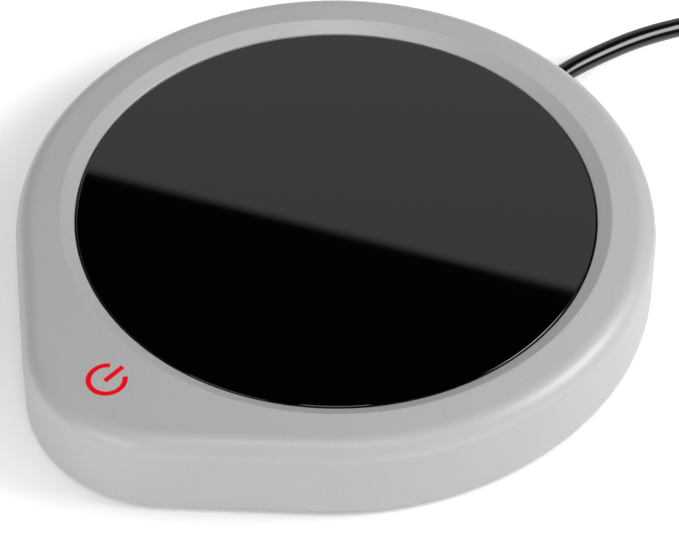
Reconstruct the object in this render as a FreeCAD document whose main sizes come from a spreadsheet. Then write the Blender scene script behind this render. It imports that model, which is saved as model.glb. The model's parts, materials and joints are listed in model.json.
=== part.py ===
import FreeCAD, Part
import Sketcher
import math
import os

# Electric mug warmer: a teardrop casing with a black glass hot plate that floats on three springs and presses
# a switch, a lit power sign in the casing's tip, and a mains cord out of the back.
# Millimetres. +Z is up, the tip points to -Y, the cord leaves to +Y, and the origin is the centre of the
# footprint on the surface that the feet stand on.

Vector = FreeCAD.Vector
UP = Vector(0, 0, 1)

# The driving dimensions: name, value in millimetres or degrees, and what it is.
DIMENSIONS = [
    ("body_radius", 62.15, "casing round the plate, outer radius at the bottom edge"),
    ("tip_radius", 28.4, "casing at the tip, outer radius at the bottom edge"),
    ("plan_length", 134.6, "casing from the tip to the back"),
    ("foot_height", 1.4, "gap from the surface to the casing's bottom edge"),
    ("shell_height", 16.35, "casing's bottom edge to its top face"),
    ("draft", 2.5, "lean of the casing's side, degrees"),
    ("edge_round", 4.0, "round between the side and the top face"),
    ("wall", 2.0, "casing's wall and top"),
    ("dish_radius", 52.9, "outer edge of the sloped band round the plate"),
    ("dish_depth", 1.65, "top face down to the plate"),
    ("lip_thick", 1.6, "the band's inner lip"),
    ("plate_radius", 50.0, "glass plate"),
    ("plate_thick", 3.0, "glass plate"),
    ("plate_bevel", 0.35, "ground edge of the glass"),
    ("plate_gap", 0.3, "gap round the glass"),
    ("plate_travel", 0.8, "how far a mug presses the plate down"),
    ("skirt_radius", 52.75, "inner radius of the ring that guides the tray"),
    ("skirt_wall", 1.5, "guide ring's wall"),
    ("skirt_bottom", 10.5, "height of the guide ring's lower edge"),
    ("arm_room", 1.0, "room beside the switch arm in the guide ring"),
    ("tray_radius", 52.35, "tray under the glass"),
    ("tray_stop", 0.15, "tray's rim to the lip above it"),
    ("tray_depth", 5.45, "tray's rim to its underside"),
    ("tray_floor", 1.3, "tray's floor"),
    ("rim_gap", 0.25, "gap between the glass and the tray's rim"),
    ("seat_radius", 48.6, "tray's inner ring, outside"),
    ("seat_wall", 2.0, "tray's inner ring"),
    ("gasket_thick", 0.3, "seal between the glass and the tray's ring"),
    ("heater_radius", 45.8, "heat spreader under the glass"),
    ("spreader_thick", 0.8, "heat spreader"),
    ("track_thick", 0.3, "heating track"),
    ("track_width", 3.2, "heating track"),
    ("track_pitch", 5.4, "one ring of the heating track to the next"),
    ("track_inner", 26.8, "heating track's inner ring, radius"),
    ("track_rings", 4, "heating track's rings"),
    ("track_gap", 8.0, "opening in the heating track's rings, towards the tip"),
    ("pad_thick", 0.4, "heater's carrier sheet"),
    ("pad_gap", 0.2, "gap round the fibre disc"),
    ("lead_diameter", 0.8, "heater's flexible leads"),
    ("lead_fit", 0.1, "gap round a heater lead in the carrier sheet"),
    ("through_room", 0.3, "gap round a lead or a screw's tip that passes through"),
    ("lead_left_x", 5.6, "left lead's end on the track, from the plate's axis"),
    ("lead_left_y", 26.2, "left lead's end on the track, from the plate's axis towards the tip"),
    ("lead_right_x", 4.5, "right lead's end on the track, from the plate's axis"),
    ("lead_right_y", 21.4, "right lead's end on the track, from the plate's axis towards the tip"),
    ("lead_foot_x", 6.0, "heater leads' ends on the board, from the middle"),
    ("lead_foot_y", 40.0, "heater leads' ends on the board, from the origin towards the tip"),
    ("lead_rise_y", 31.0, "where the heater leads rise from the board, towards the tip"),
    ("thermostat_length", 15.0, "flat thermostat"),
    ("thermostat_width", 6.4, "flat thermostat"),
    ("thermostat_thick", 3.6, "flat thermostat"),
    ("thermostat_round", 0.8, "round on the thermostat's lower edges"),
    ("window_room", 0.6, "thermostat's windows, more than its case"),
    ("strap_thick", 0.4, "thermostat's strap"),
    ("strap_width", 5.0, "thermostat's strap"),
    ("strap_slack", 0.5, "gap between the thermostat's sides and its strap"),
    ("strap_toe", 2.2, "strap's ends past its screws"),
    ("strap_screw_y", 6.8, "strap's screws from the plate's axis"),
    ("strap_screw_head", 1.5, "strap screw's head radius"),
    ("strap_head_thick", 0.8, "strap screw's head"),
    ("strap_screw_length", 2.4, "strap screw's shank"),
    ("base_recess", 0.4, "casing's bottom edge up to the bottom cover"),
    ("base_thick", 1.6, "bottom cover"),
    ("base_gap", 0.2, "gap round the bottom cover"),
    ("base_bevel", 0.4, "bevel on the bottom cover's edge"),
    ("label_width", 44.0, "blank recess for a rating plate"),
    ("label_length", 24.0, "blank recess for a rating plate"),
    ("label_depth", 0.3, "blank recess for a rating plate"),
    ("foot_radius", 4.5, "rubber foot"),
    ("foot_sink", 0.4, "foot's pocket in the bottom cover"),
    ("foot_round", 0.4, "round on a foot's lower edge"),
    ("rear_foot_x", 40.0, "back feet, from the middle"),
    ("rear_foot_y", 33.0, "back feet, from the origin"),
    ("front_foot_x", 20.0, "front feet, from the middle"),
    ("front_foot_y", 43.0, "front feet, from the origin towards the tip"),
    ("screw_circle", 57.0, "case screws round the plate's axis"),
    ("rear_screw_angle", 48.0, "back case screws, degrees from +X"),
    ("side_screw_angle", -15.0, "side case screws, degrees from +X"),
    ("tip_screw_x", 17.8, "case screws in the tip"),
    ("tip_screw_y", 54.0, "case screws in the tip, towards the tip"),
    ("boss_radius", 2.6, "screw bosses of the casing"),
    ("boss_foot", 5.0, "height where the casing's bosses meet the cover's"),
    ("screw_radius", 1.1, "self-tapping screw's shank"),
    ("screw_head", 2.0, "self-tapping screw's head radius"),
    ("head_thick", 1.2, "self-tapping screw's head"),
    ("screw_length", 7.0, "case screw's shank"),
    ("head_sunk", 0.1, "case screw's head below the cover's face"),
    ("head_room", 0.15, "gap round a case screw's head"),
    ("shank_room", 0.15, "gap round a screw's shank in what it holds down"),
    ("pilot_spare", 0.9, "pilot hole past the screw's tip"),
    ("small_screw", 0.9, "board's and strap's screws, shank radius"),
    ("small_boss", 2.2, "bosses under the small screws, radius"),
    ("spring_circle", 38.0, "springs round the plate's axis"),
    ("spring_radius", 2.6, "spring, to the middle of its wire"),
    ("spring_wire", 0.5, "spring wire"),
    ("spring_turns", 4.5, "spring's turns"),
    ("post_radius", 1.6, "post inside a spring"),
    ("post_top", 7.7, "height of the posts' tops"),
    ("collar_radius", 3.4, "collar round a spring's top end, inside"),
    ("collar_wall", 0.9, "collar's wall"),
    ("collar_depth", 1.0, "collar under the tray"),
    ("arm_angle", 8.5, "switch, from the tip's direction, degrees"),
    ("arm_top", 14.0, "height of the switch arm's top"),
    ("arm_thick", 1.2, "switch arm"),
    ("arm_width", 5.0, "switch arm"),
    ("arm_reach", 59.0, "switch arm's end from the plate's axis"),
    ("arm_root", 0.6, "switch arm's root in the tray's rim"),
    ("switch_circle", 57.2, "switch from the plate's axis"),
    ("switch_length", 10.0, "switch case"),
    ("switch_depth", 5.0, "switch case"),
    ("switch_height", 6.2, "switch case"),
    ("plunger_length", 2.4, "switch plunger"),
    ("plunger_depth", 1.4, "switch plunger"),
    ("plunger_sunk", 2.6, "plunger inside the case at rest"),
    ("plunger_room", 0.2, "plunger's well, more than the plunger"),
    ("plunger_spare", 0.3, "well under the pressed plunger"),
    ("plunger_round", 0.3, "round on the plunger's top"),
    ("board_bottom", 4.4, "height of the circuit board's underside"),
    ("board_thick", 1.2, "circuit board"),
    ("board_half", 18.5, "circuit board, half its width"),
    ("board_shoulder", 46.5, "where the circuit board starts to narrow, from the origin towards the tip"),
    ("board_nose", 10.0, "circuit board, half its width at the front"),
    ("board_back", 37.0, "circuit board's back edge, from the origin towards the tip"),
    ("board_front", 59.0, "circuit board's front edge, from the origin towards the tip"),
    ("board_screw_x", 14.5, "circuit board's screws"),
    ("board_screw_y", 41.0, "circuit board's screws, from the origin towards the tip"),
    ("board_screw_head", 1.8, "board screw's head radius"),
    ("board_head_thick", 0.9, "board screw's head"),
    ("board_screw_length", 3.0, "board screw's shank"),
    ("board_pilot", 2.0, "pilot hole for a board screw"),
    ("board_pillar", 1.6, "pillar under the board's middle, radius"),
    ("symbol_y", 55.65, "power sign's centre, from the origin towards the tip"),
    ("symbol_radius", 3.75, "power sign's ring, outside"),
    ("symbol_stroke", 0.95, "power sign's line"),
    ("symbol_gap", 35.5, "half of the opening in the power sign's ring, degrees"),
    ("symbol_bar_out", 4.0, "power sign's bar, outer end from the centre"),
    ("symbol_bar_in", 0.45, "power sign's bar, inner end past the centre"),
    ("symbol_fit", 0.03, "gap round the power sign in the casing"),
    ("symbol_fit_angle", 0.6, "gap at the ends of the power sign's ring, degrees"),
    ("guide_radius", 5.0, "light guide's plate under the casing's top"),
    ("guide_thick", 1.2, "light guide's plate"),
    ("guide_stem", 2.5, "light guide's stem, radius"),
    ("led_height", 2.4, "light under the light guide"),
    ("led_radius", 1.5, "light under the light guide"),
    ("led_round", 0.7, "round on the light's top"),
    ("led_gap", 0.3, "gap between the light and the light guide"),
    ("smoother_x", 6.2, "smoothing capacitor, from the middle"),
    ("smoother_y", 57.0, "smoothing capacitor, from the origin towards the tip"),
    ("smoother_radius", 1.9, "smoothing capacitor"),
    ("smoother_height", 5.0, "smoothing capacitor"),
    ("smoother_round", 0.3, "round on the smoothing capacitor's top"),
    ("fuse_x", -12.4, "fuse's left end, from the middle"),
    ("fuse_y", 44.2, "fuse, from the origin towards the tip"),
    ("fuse_radius", 1.0, "fuse"),
    ("fuse_length", 6.4, "fuse"),
    ("fuse_lift", 1.1, "fuse's middle line above the board"),
    ("cord_x", 2.9, "cord's exit, from the middle"),
    ("cord_z", 6.9, "height of the cord's exit"),
    ("cord_diameter", 4.2, "mains cord"),
    ("bush_radius", 3.0, "cord bush in the wall"),
    ("bush_flange", 3.45, "cord bush's flanges, radius"),
    ("bush_proud", 0.8, "cord bush outside the wall"),
    ("bush_inner", 2.8, "casing's back to the bush's inner flange"),
    ("flange_thick", 1.1, "bush's inner flange"),
    ("cord_end_y", 58.2, "inner end of the cord's sheath, from the origin"),
    ("clamp_y", 61.4, "cord clamp, from the origin"),
    ("clamp_length", 16.0, "cord clamp's bar"),
    ("clamp_width", 3.2, "cord clamp's bar"),
    ("clamp_thick", 1.3, "cord clamp's bar"),
    ("clamp_screw_x", 5.6, "clamp's screws from the cord"),
    ("clamp_screw_head", 1.9, "clamp screw's head radius"),
    ("clamp_head_thick", 1.1, "clamp screw's head"),
    ("clamp_screw_length", 5.0, "clamp screw's shank"),
    ("cradle_width", 4.0, "rest under the cord"),
    ("wire_diameter", 1.5, "insulated wires inside"),
    ("wire_apart", 1.9, "one wire to the other where they leave the sheath"),
    ("wire_bend_y", 52.0, "where the wires turn down, from the origin"),
    ("coil_x", 58.0, "middle of the put-away coil"),
    ("coil_y", 121.0, "middle of the put-away coil"),
    ("coil_radius", 33.4, "coil's outer turn"),
    ("coil_step", 4.8, "one turn or layer of the coil to the next"),
    ("coil_loops", 6.0, "coil's whole turns in its two layers"),
    ("coil_start", 150.0, "where the cord joins the coil, degrees from +X"),
    ("coil_end", 30.0, "where the cord leaves the coil, degrees from +X"),
    ("coil_lift", 0.65, "coil's underside, on its tie"),
    ("tie_thick", 0.5, "coil's tie"),
    ("tie_width", 7.0, "coil's tie"),
    ("tie_room", 0.6, "gap beside the turns in the tie"),
    ("tie_under", 0.1, "gap under the turns in the tie"),
    ("tie_over", 0.25, "gap over the turns in the tie"),
    ("tie_round", 0.7, "round inside the tie's corners"),
    ("tie_angle", -90.0, "where the tie is, degrees from +X"),
    ("plug_x", 101.0, "plug's middle line"),
    ("plug_y", 91.5, "back end of the plug's strain relief"),
    ("plug_z", 5.5, "height of the plug's middle line"),
    ("relief_length", 22.0, "plug's strain relief"),
    ("relief_small", 3.1, "plug's strain relief at the cord, radius"),
    ("relief_large", 4.6, "plug's strain relief at the plug, radius"),
    ("relief_ribs", 5, "grooves round the plug's strain relief"),
    ("rib_depth", 0.55, "grooves of the plug's strain relief"),
    ("plug_length", 27.0, "plug's body"),
    ("plug_width", 21.0, "plug's body at the front"),
    ("plug_back_width", 14.0, "plug's body at the back"),
    ("plug_thick", 11.0, "plug's body"),
    ("plug_shoulder", 10.3, "narrowing back of the plug's body"),
    ("plug_round", 2.2, "round on the plug's edges"),
    ("blade_length", 17.0, "plug's blades"),
    ("blade_height", 6.35, "plug's blades"),
    ("blade_thick", 1.5, "plug's blades"),
    ("blade_spacing", 12.7, "between the plug's blades"),
    ("blade_point", 1.6, "bevel at a blade's tip, along the blade"),
    ("blade_bevel", 1.4, "bevel at a blade's tip, across the blade"),
    ("blade_hole", 1.55, "hole in a blade, radius"),
    ("blade_hole_in", 3.6, "hole in a blade, from the tip"),
]

# Blocks soldered to the board: each one's middle, x from the origin and y towards the tip, and its sizes.
BLOCKS = {
    "dropper_capacitor": {"x": -8.2, "y": 52.1, "width": 9.0, "length": 4.8, "height": 7.4, "edge": 0.6},
    "control_chip": {"x": 0.0, "y": 43.0, "width": 5.0, "length": 4.0, "height": 1.6, "edge": 0.2},
    "triac": {"x": 9.5, "y": 44.0, "width": 6.0, "length": 4.8, "height": 1.9, "edge": 0.2},
}
for block, sizes in BLOCKS.items():
    DIMENSIONS += [(f"{block}_{side}", value, f"{block}, {side}") for side, value in sizes.items()]

# Heights and places that follow from the driving dimensions, as expressions on the sheet.
PLATE_Y = "(dims.plan_length / 2 - dims.body_radius)"
TIP_Y = "(dims.tip_radius - dims.plan_length / 2)"
SHELL_TOP = "(dims.foot_height + dims.shell_height)"
CEILING = f"({SHELL_TOP} - dims.wall)"
PLATE_TOP = f"({SHELL_TOP} - dims.dish_depth)"
PLATE_BOTTOM = f"({PLATE_TOP} - dims.plate_thick)"
LIP_BOTTOM = f"({PLATE_TOP} - dims.lip_thick)"
APERTURE = "(dims.plate_radius + dims.plate_gap)"
TRAY_TOP = f"({LIP_BOTTOM} - dims.tray_stop)"
TRAY_BOTTOM = f"({TRAY_TOP} - dims.tray_depth)"
TRAY_FLOOR_TOP = f"({TRAY_BOTTOM} + dims.tray_floor)"
SPREADER_BOTTOM = f"({PLATE_BOTTOM} - dims.spreader_thick)"
TRACK_BOTTOM = f"({SPREADER_BOTTOM} - dims.track_thick)"
PAD_BOTTOM = f"({TRACK_BOTTOM} - dims.pad_thick)"
BASE_BOTTOM = "(dims.foot_height + dims.base_recess)"
BASE_TOP = f"({BASE_BOTTOM} + dims.base_thick)"
BOARD_TOP = "(dims.board_bottom + dims.board_thick)"
SWITCH_TOP = f"({BOARD_TOP} + dims.switch_height)"
ARM_BOTTOM = "(dims.arm_top - dims.arm_thick)"
CORD_RADIUS = "(dims.cord_diameter / 2)"
WALL_BACK = "(dims.plan_length / 2)"
BUSH_FACE = f"({WALL_BACK} + dims.bush_proud)"
CLAMP_BOTTOM = f"(dims.cord_z + {CORD_RADIUS})"
SCREW_SEAT = f"({BASE_BOTTOM} + dims.head_thick + dims.head_sunk)"

RUNNING_GAP = 0.05   # between flat faces that slide or stop on each other
SCREW_FIT = 0.02     # round a screw's shank in its hole
OVERLAP = 0.2        # how far a form reaches into the one that it joins
OVERCUT = 1.0        # how far a cut runs past the face that it opens
ARC_SHARE = 0.45     # of the shorter run, where a cord's path leaves it for an arc

# The free cord's route from the casing to the coil, and from the coil to the plug. The first and last runs of
# each point the way of what they meet.
LEAD_ROUTE = [
    (2.9, 68.1, 6.9),
    (2.9, 73.2, 6.9),
    (4.9, 82.6, 6.9),
    (8.0, 93.0, 6.9),
    (12.9, 103.4, 6.6),
    (16.6, 113.0, 4.6),
    (20.475, 122.804, 2.75),
    (26.975, 134.063, 2.75),
]
TAIL_ROUTE = [
    (89.025, 134.063, 7.55),
    (94.525, 124.536, 7.55),
    (99.2, 114.4, 5.2),
    (101.0, 103.0, 5.5),
    (101.0, 91.5, 5.5),
]

# The mains wires' routes over the bottom cover and up onto the board: x, y and what each point lies on.
LIVE_ROUTE = [
    (0.5, 44.0, "cover"),
    (-3.5, 22.0, "cover"),
    (-7.0, 0.0, "cover"),
    (-9.5, -20.0, "cover"),
    (-9.5, -28.0, "cover"),
    (-9.5, -34.0, "board"),
    (-9.5, -40.0, "board"),
]
NEUTRAL_ROUTE = [
    (5.0, 44.0, "cover"),
    (6.5, 22.0, "cover"),
    (8.0, 0.0, "cover"),
    (9.5, -20.0, "cover"),
    (9.5, -28.0, "cover"),
    (9.5, -34.0, "board"),
    (9.5, -40.0, "board"),
]

doc = FreeCAD.newDocument("mug_warmer")
sheet = doc.addObject("Spreadsheet::Sheet", "dims")
for row, (alias, value, note) in enumerate(DIMENSIONS, start=1):
    sheet.set(f"A{row}", alias)
    sheet.set(f"B{row}", str(value))
    sheet.set(f"C{row}", note)
    sheet.setAlias(f"B{row}", alias)
doc.recompute()

subparts = []


def number(text):
    """The value of an expression on the sheet."""
    return float(sheet.evalExpression(str(text)))


def spot(x, y, z):
    """A point whose coordinates are expressions on the sheet."""
    return Vector(number(x), number(y), number(z))


def keep(piece, label):
    """Names a finished sub-part and puts it on the list of those to write."""
    piece.Label = label
    subparts.append(piece)
    return piece


def new_body(label, x="0", y="0", z="0", turn="0"):
    """A body at a place on the sheet, turned about the vertical."""
    body = doc.addObject("PartDesign::Body", label)
    body.Placement = FreeCAD.Placement(Vector(), FreeCAD.Rotation(UP, 1))
    for axis, text in (("x", x), ("y", y), ("z", z)):
        body.setExpression(f".Placement.Base.{axis}", text)
    body.setExpression(".Placement.Rotation.Angle", turn)
    return keep(body, label)


def origin_plane(body, role):
    return next(f for f in body.Origin.OriginFeatures if f.Role == role)


def new_sketch(body, name, height="0", x="0", y="0", turn="0", plane="XY_Plane"):
    """A sketch on one of the body's own planes, moved and turned on it by expressions."""
    sketch = body.newObject("Sketcher::SketchObject", name)
    sketch.AttachmentSupport = [(origin_plane(body, plane), "")]
    sketch.MapMode = "FlatFace"
    sketch.AttachmentOffset = FreeCAD.Placement(Vector(), FreeCAD.Rotation(UP, 1))
    for axis, text in (("x", x), ("y", y), ("z", height)):
        sketch.setExpression(f".AttachmentOffset.Base.{axis}", text)
    sketch.setExpression(".AttachmentOffset.Rotation.Angle", turn)
    return sketch


def bind(sketch, constraint, text):
    """Adds a dimension to a sketch and ties it to an expression."""
    index = sketch.addConstraint(constraint)
    sketch.setExpression(f"Constraints[{index}]", text)


def pin(sketch, geometry, position, x=None, y=None):
    """Ties a point of a sketch to expressions, measured from the sketch's origin."""
    for kind, axis, text in (("DistanceX", -2, x), ("DistanceY", -1, y)):
        if text is None:
            continue
        value = number(text)
        if abs(value) < 1e-9:
            sketch.addConstraint(Sketcher.Constraint("PointOnObject", geometry, position, axis))
        else:
            bind(sketch, Sketcher.Constraint(kind, -1, 1, geometry, position, value), text)


def draw_circle(sketch, radius, x="0", y="0"):
    centre = Vector(number(x), number(y), 0)
    index = sketch.addGeometry(Part.Circle(centre, UP, number(radius)))
    bind(sketch, Sketcher.Constraint("Radius", index, number(radius)), radius)
    pin(sketch, index, 3, x, y)


def draw_polygon(sketch, corners):
    """A closed outline of straight lines through corners given as pairs of expressions."""
    points = [Vector(number(x), number(y), 0) for x, y in corners]
    lines = [
        sketch.addGeometry(Part.LineSegment(a, b)) for a, b in zip(points, points[1:] + points[:1])
    ]
    for before, line, (x, y) in zip(lines[-1:] + lines[:-1], lines, corners):
        sketch.addConstraint(Sketcher.Constraint("Coincident", before, 2, line, 1))
        pin(sketch, line, 1, x, y)


def draw_rectangle(sketch, width, length, x="0", y="0"):
    """A rectangle about the point x, y."""
    left, right = f"{x} - ({width}) / 2", f"{x} + ({width}) / 2"
    low, high = f"{y} - ({length}) / 2", f"{y} + ({length}) / 2"
    draw_polygon(sketch, [(left, low), (right, low), (right, high), (left, high)])


def draw_teardrop(sketch, inset):
    """The casing's outline about the plate's axis, moved in by inset: two arcs and lines that touch both."""
    big, tip = f"dims.body_radius - {inset}", f"dims.tip_radius - {inset}"
    tip_y = f"({TIP_Y} - {PLATE_Y})"
    reach = -number(tip_y)
    lean = math.acos((number(big) - number(tip)) / reach)
    right, left = lean - math.pi / 2, 1.5 * math.pi - lean

    def rim(y, radius, angle):
        return Vector(radius * math.cos(angle), y + radius * math.sin(angle), 0)

    big_circle = Part.Circle(Vector(), UP, number(big))
    tip_circle = Part.Circle(Vector(0, -reach, 0), UP, number(tip))
    body_arc = sketch.addGeometry(Part.ArcOfCircle(big_circle, right, left))
    tip_arc = sketch.addGeometry(Part.ArcOfCircle(tip_circle, left, right + 2 * math.pi))
    left_line = sketch.addGeometry(
        Part.LineSegment(rim(0, number(big), left), rim(-reach, number(tip), left))
    )
    right_line = sketch.addGeometry(
        Part.LineSegment(rim(-reach, number(tip), right), rim(0, number(big), right))
    )
    chain = [(body_arc, left_line), (left_line, tip_arc), (tip_arc, right_line), (right_line, body_arc)]
    for before, after in chain:
        sketch.addConstraint(Sketcher.Constraint("Tangent", before, 2, after, 1))
    bind(sketch, Sketcher.Constraint("Radius", body_arc, number(big)), big)
    bind(sketch, Sketcher.Constraint("Radius", tip_arc, number(tip)), tip)
    pin(sketch, body_arc, 3, "0", "0")
    pin(sketch, tip_arc, 3, "0", tip_y)


def draw_rounded_box(sketch, sides, radius):
    """A rectangle with round corners, from its left, right, low and high sides."""
    left, right, low, high = sides
    centres = [
        (f"{right} - {radius}", f"{low} + {radius}"),
        (f"{right} - {radius}", f"{high} - {radius}"),
        (f"{left} + {radius}", f"{high} - {radius}"),
        (f"{left} + {radius}", f"{low} + {radius}"),
    ]
    arcs, ends = [], []
    for k, (x, y) in enumerate(centres):
        circle = Part.Circle(Vector(number(x), number(y), 0), UP, number(radius))
        start, end = (k - 1) * math.pi / 2, k * math.pi / 2
        arcs.append(sketch.addGeometry(Part.ArcOfCircle(circle, start, end)))
        ends.append((circle.value(start), circle.value(end)))
        bind(sketch, Sketcher.Constraint("Radius", arcs[-1], number(radius)), radius)
        pin(sketch, arcs[-1], 3, x, y)
    for k in range(4):
        after = (k + 1) % 4
        line = sketch.addGeometry(Part.LineSegment(ends[k][1], ends[after][0]))
        sketch.addConstraint(Sketcher.Constraint("Tangent", arcs[k], 2, line, 1))
        sketch.addConstraint(Sketcher.Constraint("Tangent", line, 2, arcs[after], 1))


def draw_ring_sector(sketch, inner, outer, half_gap):
    """A ring about the sketch's origin with an opening towards +Y."""
    angle = math.radians(number(half_gap))
    start, end = math.pi / 2 + angle, 2.5 * math.pi - angle
    arcs = []
    for radius in (outer, inner):
        arc = sketch.addGeometry(
            Part.ArcOfCircle(Part.Circle(Vector(), UP, number(radius)), start, end)
        )
        bind(sketch, Sketcher.Constraint("Radius", arc, number(radius)), radius)
        pin(sketch, arc, 3, "0", "0")
        side = f"{radius} * sin({half_gap})"
        pin(sketch, arc, 1, f"-{side}")
        pin(sketch, arc, 2, side)
        arcs.append(arc)
    for position in (1, 2):
        ends = [
            Vector(
                number(radius) * math.cos((start, end)[position - 1]),
                number(radius) * math.sin((start, end)[position - 1]),
                0,
            )
            for radius in (outer, inner)
        ]
        line = sketch.addGeometry(Part.LineSegment(*ends))
        sketch.addConstraint(Sketcher.Constraint("Coincident", line, 1, arcs[0], position))
        sketch.addConstraint(Sketcher.Constraint("Coincident", line, 2, arcs[1], position))


def grown(body, feature, grows):
    """Recomputes, and stops if a feature that should add or cut material didn't."""
    before = 0.0 if feature.BaseFeature is None else feature.BaseFeature.Shape.Volume
    doc.recompute()
    change = feature.Shape.Volume - before
    if (change > 0) != grows or abs(change) < 1e-6:
        raise RuntimeError(f"{body.Label}: {feature.Name} changed the volume by {change:.4f}")
    return feature


def pad(body, sketch, length, taper=None, both_ways=False):
    feature = body.newObject("PartDesign::Pad", "pad")
    feature.Profile = sketch
    feature.Midplane = both_ways
    feature.setExpression("Length", length)
    if taper:
        feature.setExpression("TaperAngle", taper)
    return grown(body, feature, True)


def pocket(body, sketch, length, upwards=False, taper=None):
    feature = body.newObject("PartDesign::Pocket", "pocket")
    feature.Profile = sketch
    feature.Reversed = upwards
    feature.setExpression("Length", length)
    if taper:
        feature.setExpression("TaperAngle", taper)
    return grown(body, feature, False)


def turned(body, sketch, cut=False):
    """The sketch's outline turned a full circle about the sketch's vertical axis."""
    feature = body.newObject("PartDesign::Groove" if cut else "PartDesign::Revolution", "turned")
    feature.Profile = sketch
    feature.ReferenceAxis = (sketch, ["V_Axis"])
    feature.Angle = 360
    return grown(body, feature, not cut)


def edges_at(shape, height):
    """The names of the edges that lie flat at a height."""
    return [
        f"Edge{i}"
        for i, edge in enumerate(shape.Edges, start=1)
        if all(abs(p.z - height) < 1e-4 for p in (edge.valueAt(edge.FirstParameter),
                                                  edge.valueAt(edge.LastParameter)))
    ]


def rounded(body, base, height, radius, kind="PartDesign::Fillet"):
    """Rounds or bevels a feature's flat edges at a height."""
    feature = body.newObject(kind, "edge")
    feature.Base = (base, edges_at(base.Shape, number(height)))
    feature.setExpression("Radius" if kind.endswith("Fillet") else "Size", radius)
    doc.recompute()
    return feature


def screw_group(label, places, seat_z, head_radius, head_thick, shank_radius, shank_length, head_up):
    """Like screws as one node of separate solids. seat_z is where the heads meet what they hold."""
    along = 1 if head_up else -1
    bevel, slot_depth = 0.25 * head_thick, 0.5 * head_thick
    slot_length, slot_width = 1.2 * head_radius, 0.22 * head_radius
    straight = 0.8 * shank_length
    face = seat_z + along * head_thick
    slot_floor = face - slot_depth if head_up else face
    solids = []
    for x, y in places:
        seat = Vector(x, y, seat_z)
        head = Part.makeCylinder(head_radius, head_thick, seat, UP * along)
        rim = [e for e in head.Edges if e.isClosed() and abs(e.CenterOfMass.z - face) < 1e-6]
        head = head.makeChamfer(bevel, rim)
        for angle in (45, 135):
            slot = Part.makeBox(
                slot_length, slot_width, slot_depth, Vector(-slot_length / 2, -slot_width / 2, 0)
            )
            slot.rotate(Vector(), UP, angle)
            slot.translate(Vector(x, y, slot_floor))
            head = head.cut(slot)
        shank = Part.makeCylinder(shank_radius, straight, seat, UP * -along)
        tip = Part.makeCone(
            shank_radius, 0.4 * shank_radius, shank_length - straight,
            seat - UP * along * straight, UP * -along,
        )
        solids.append(head.fuse([shank, tip]).removeSplitter())
    group = doc.addObject("Part::Feature", label)
    group.Shape = Part.Compound(solids)
    return keep(group, label)


def arc_about(start, corner, end):
    """The arc that touches the line from start to corner and the line from corner to end, and its radius."""
    first, second = (corner - start).normalize(), (end - corner).normalize()
    half = first.getAngle(second) / 2
    if half < 1e-5:
        return Part.LineSegment(start, end), math.inf
    radius = (corner - start).Length / math.tan(half)
    inward = (second - first).normalize()
    middle = corner + inward * (radius / math.cos(half) - radius)
    return Part.Arc(start, middle, end), radius


def rounded_path(points):
    """Straight runs joined by arcs as large as the runs allow, and the least radius."""
    edges, least = [], math.inf
    here = points[0]
    for before, corner, after in zip(points, points[1:], points[2:]):
        reach = ARC_SHARE * min((corner - before).Length, (after - corner).Length)
        start = corner + (before - corner).normalize() * reach
        end = corner + (after - corner).normalize() * reach
        arc, radius = arc_about(start, corner, end)
        edges += [Part.LineSegment(here, start).toShape(), arc.toShape()]
        least = min(least, radius)
        here = end
    edges.append(Part.LineSegment(here, points[-1]).toShape())
    return Part.Wire(edges), least


def tube_along(label, path, diameter, least=None):
    """A round solid along a path, whose volume is compared with its section times its length."""
    start = path.Edges[0].valueAt(path.Edges[0].FirstParameter)
    heading = path.Edges[0].tangentAt(path.Edges[0].FirstParameter)
    profile = Part.Wire([Part.Circle(start, heading, diameter / 2).toShape()])
    piece = doc.addObject("Part::Feature", label)
    piece.Shape = path.makePipeShell([profile], True, False)
    ratio = piece.Shape.Volume / (math.pi * diameter**2 / 4 * path.Length)
    radius = "" if least is None else f", least radius {least:.1f} mm, {least / diameter:.1f} diameters"
    print(f"{label}: {path.Length:.1f} mm long, volume {ratio:.4f} of its section x length{radius}")
    if abs(ratio - 1) > 0.01:
        raise RuntimeError(f"{label}: the tube's volume is wrong")
    return keep(piece, label)


def routed(label, points, diameter):
    """A cord or wire through the points of a route."""
    path, least = rounded_path([Vector(*p) for p in points])
    return tube_along(label, path, diameter, least)


def winding_path(points, headings):
    """Two arcs from each point to the next, along the heading at each."""
    edges = []
    for start, end, leave, arrive in zip(points, points[1:], headings, headings[1:]):
        gap, along = end - start, (end - start).dot(leave + arrive)
        spread = 2 * (1 - leave.dot(arrive))
        reach = (math.sqrt(along**2 + spread * gap.dot(gap)) - along) / spread
        corner_a, corner_b = start + leave * reach, end - arrive * reach
        middle = (corner_a + corner_b) / 2
        edges += [
            arc_about(start, corner_a, middle)[0].toShape(),
            arc_about(middle, corner_b, end)[0].toShape(),
        ]
    return edges


def least_gap(points, diameter, apart):
    """The least gap between stretches of a winding that are at least some points apart."""
    return min(
        (a - b).Length for i, a in enumerate(points) for b in points[i + apart:]
    ) - diameter


CASE_SCREWS = [
    (f"{side} * dims.screw_circle * cos(dims.{name})", f"dims.screw_circle * sin(dims.{name})")
    for name in ("rear_screw_angle", "side_screw_angle")
    for side in ("1", "-1")
] + [(f"{side} * dims.tip_screw_x", f"-dims.tip_screw_y - {PLATE_Y}") for side in ("1", "-1")]

SPRINGS = {"spring_right": "30", "spring_left": "150", "spring_front": "270"}

FEET = {
    "foot_back_left": ("-dims.rear_foot_x", "dims.rear_foot_y"),
    "foot_back_right": ("dims.rear_foot_x", "dims.rear_foot_y"),
    "foot_front_left": ("-dims.front_foot_x", "-dims.front_foot_y"),
    "foot_front_right": ("dims.front_foot_x", "-dims.front_foot_y"),
}


def spring_place(angle):
    """A spring's place about the plate's axis."""
    return f"dims.spring_circle * cos({angle})", f"dims.spring_circle * sin({angle})"


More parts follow.
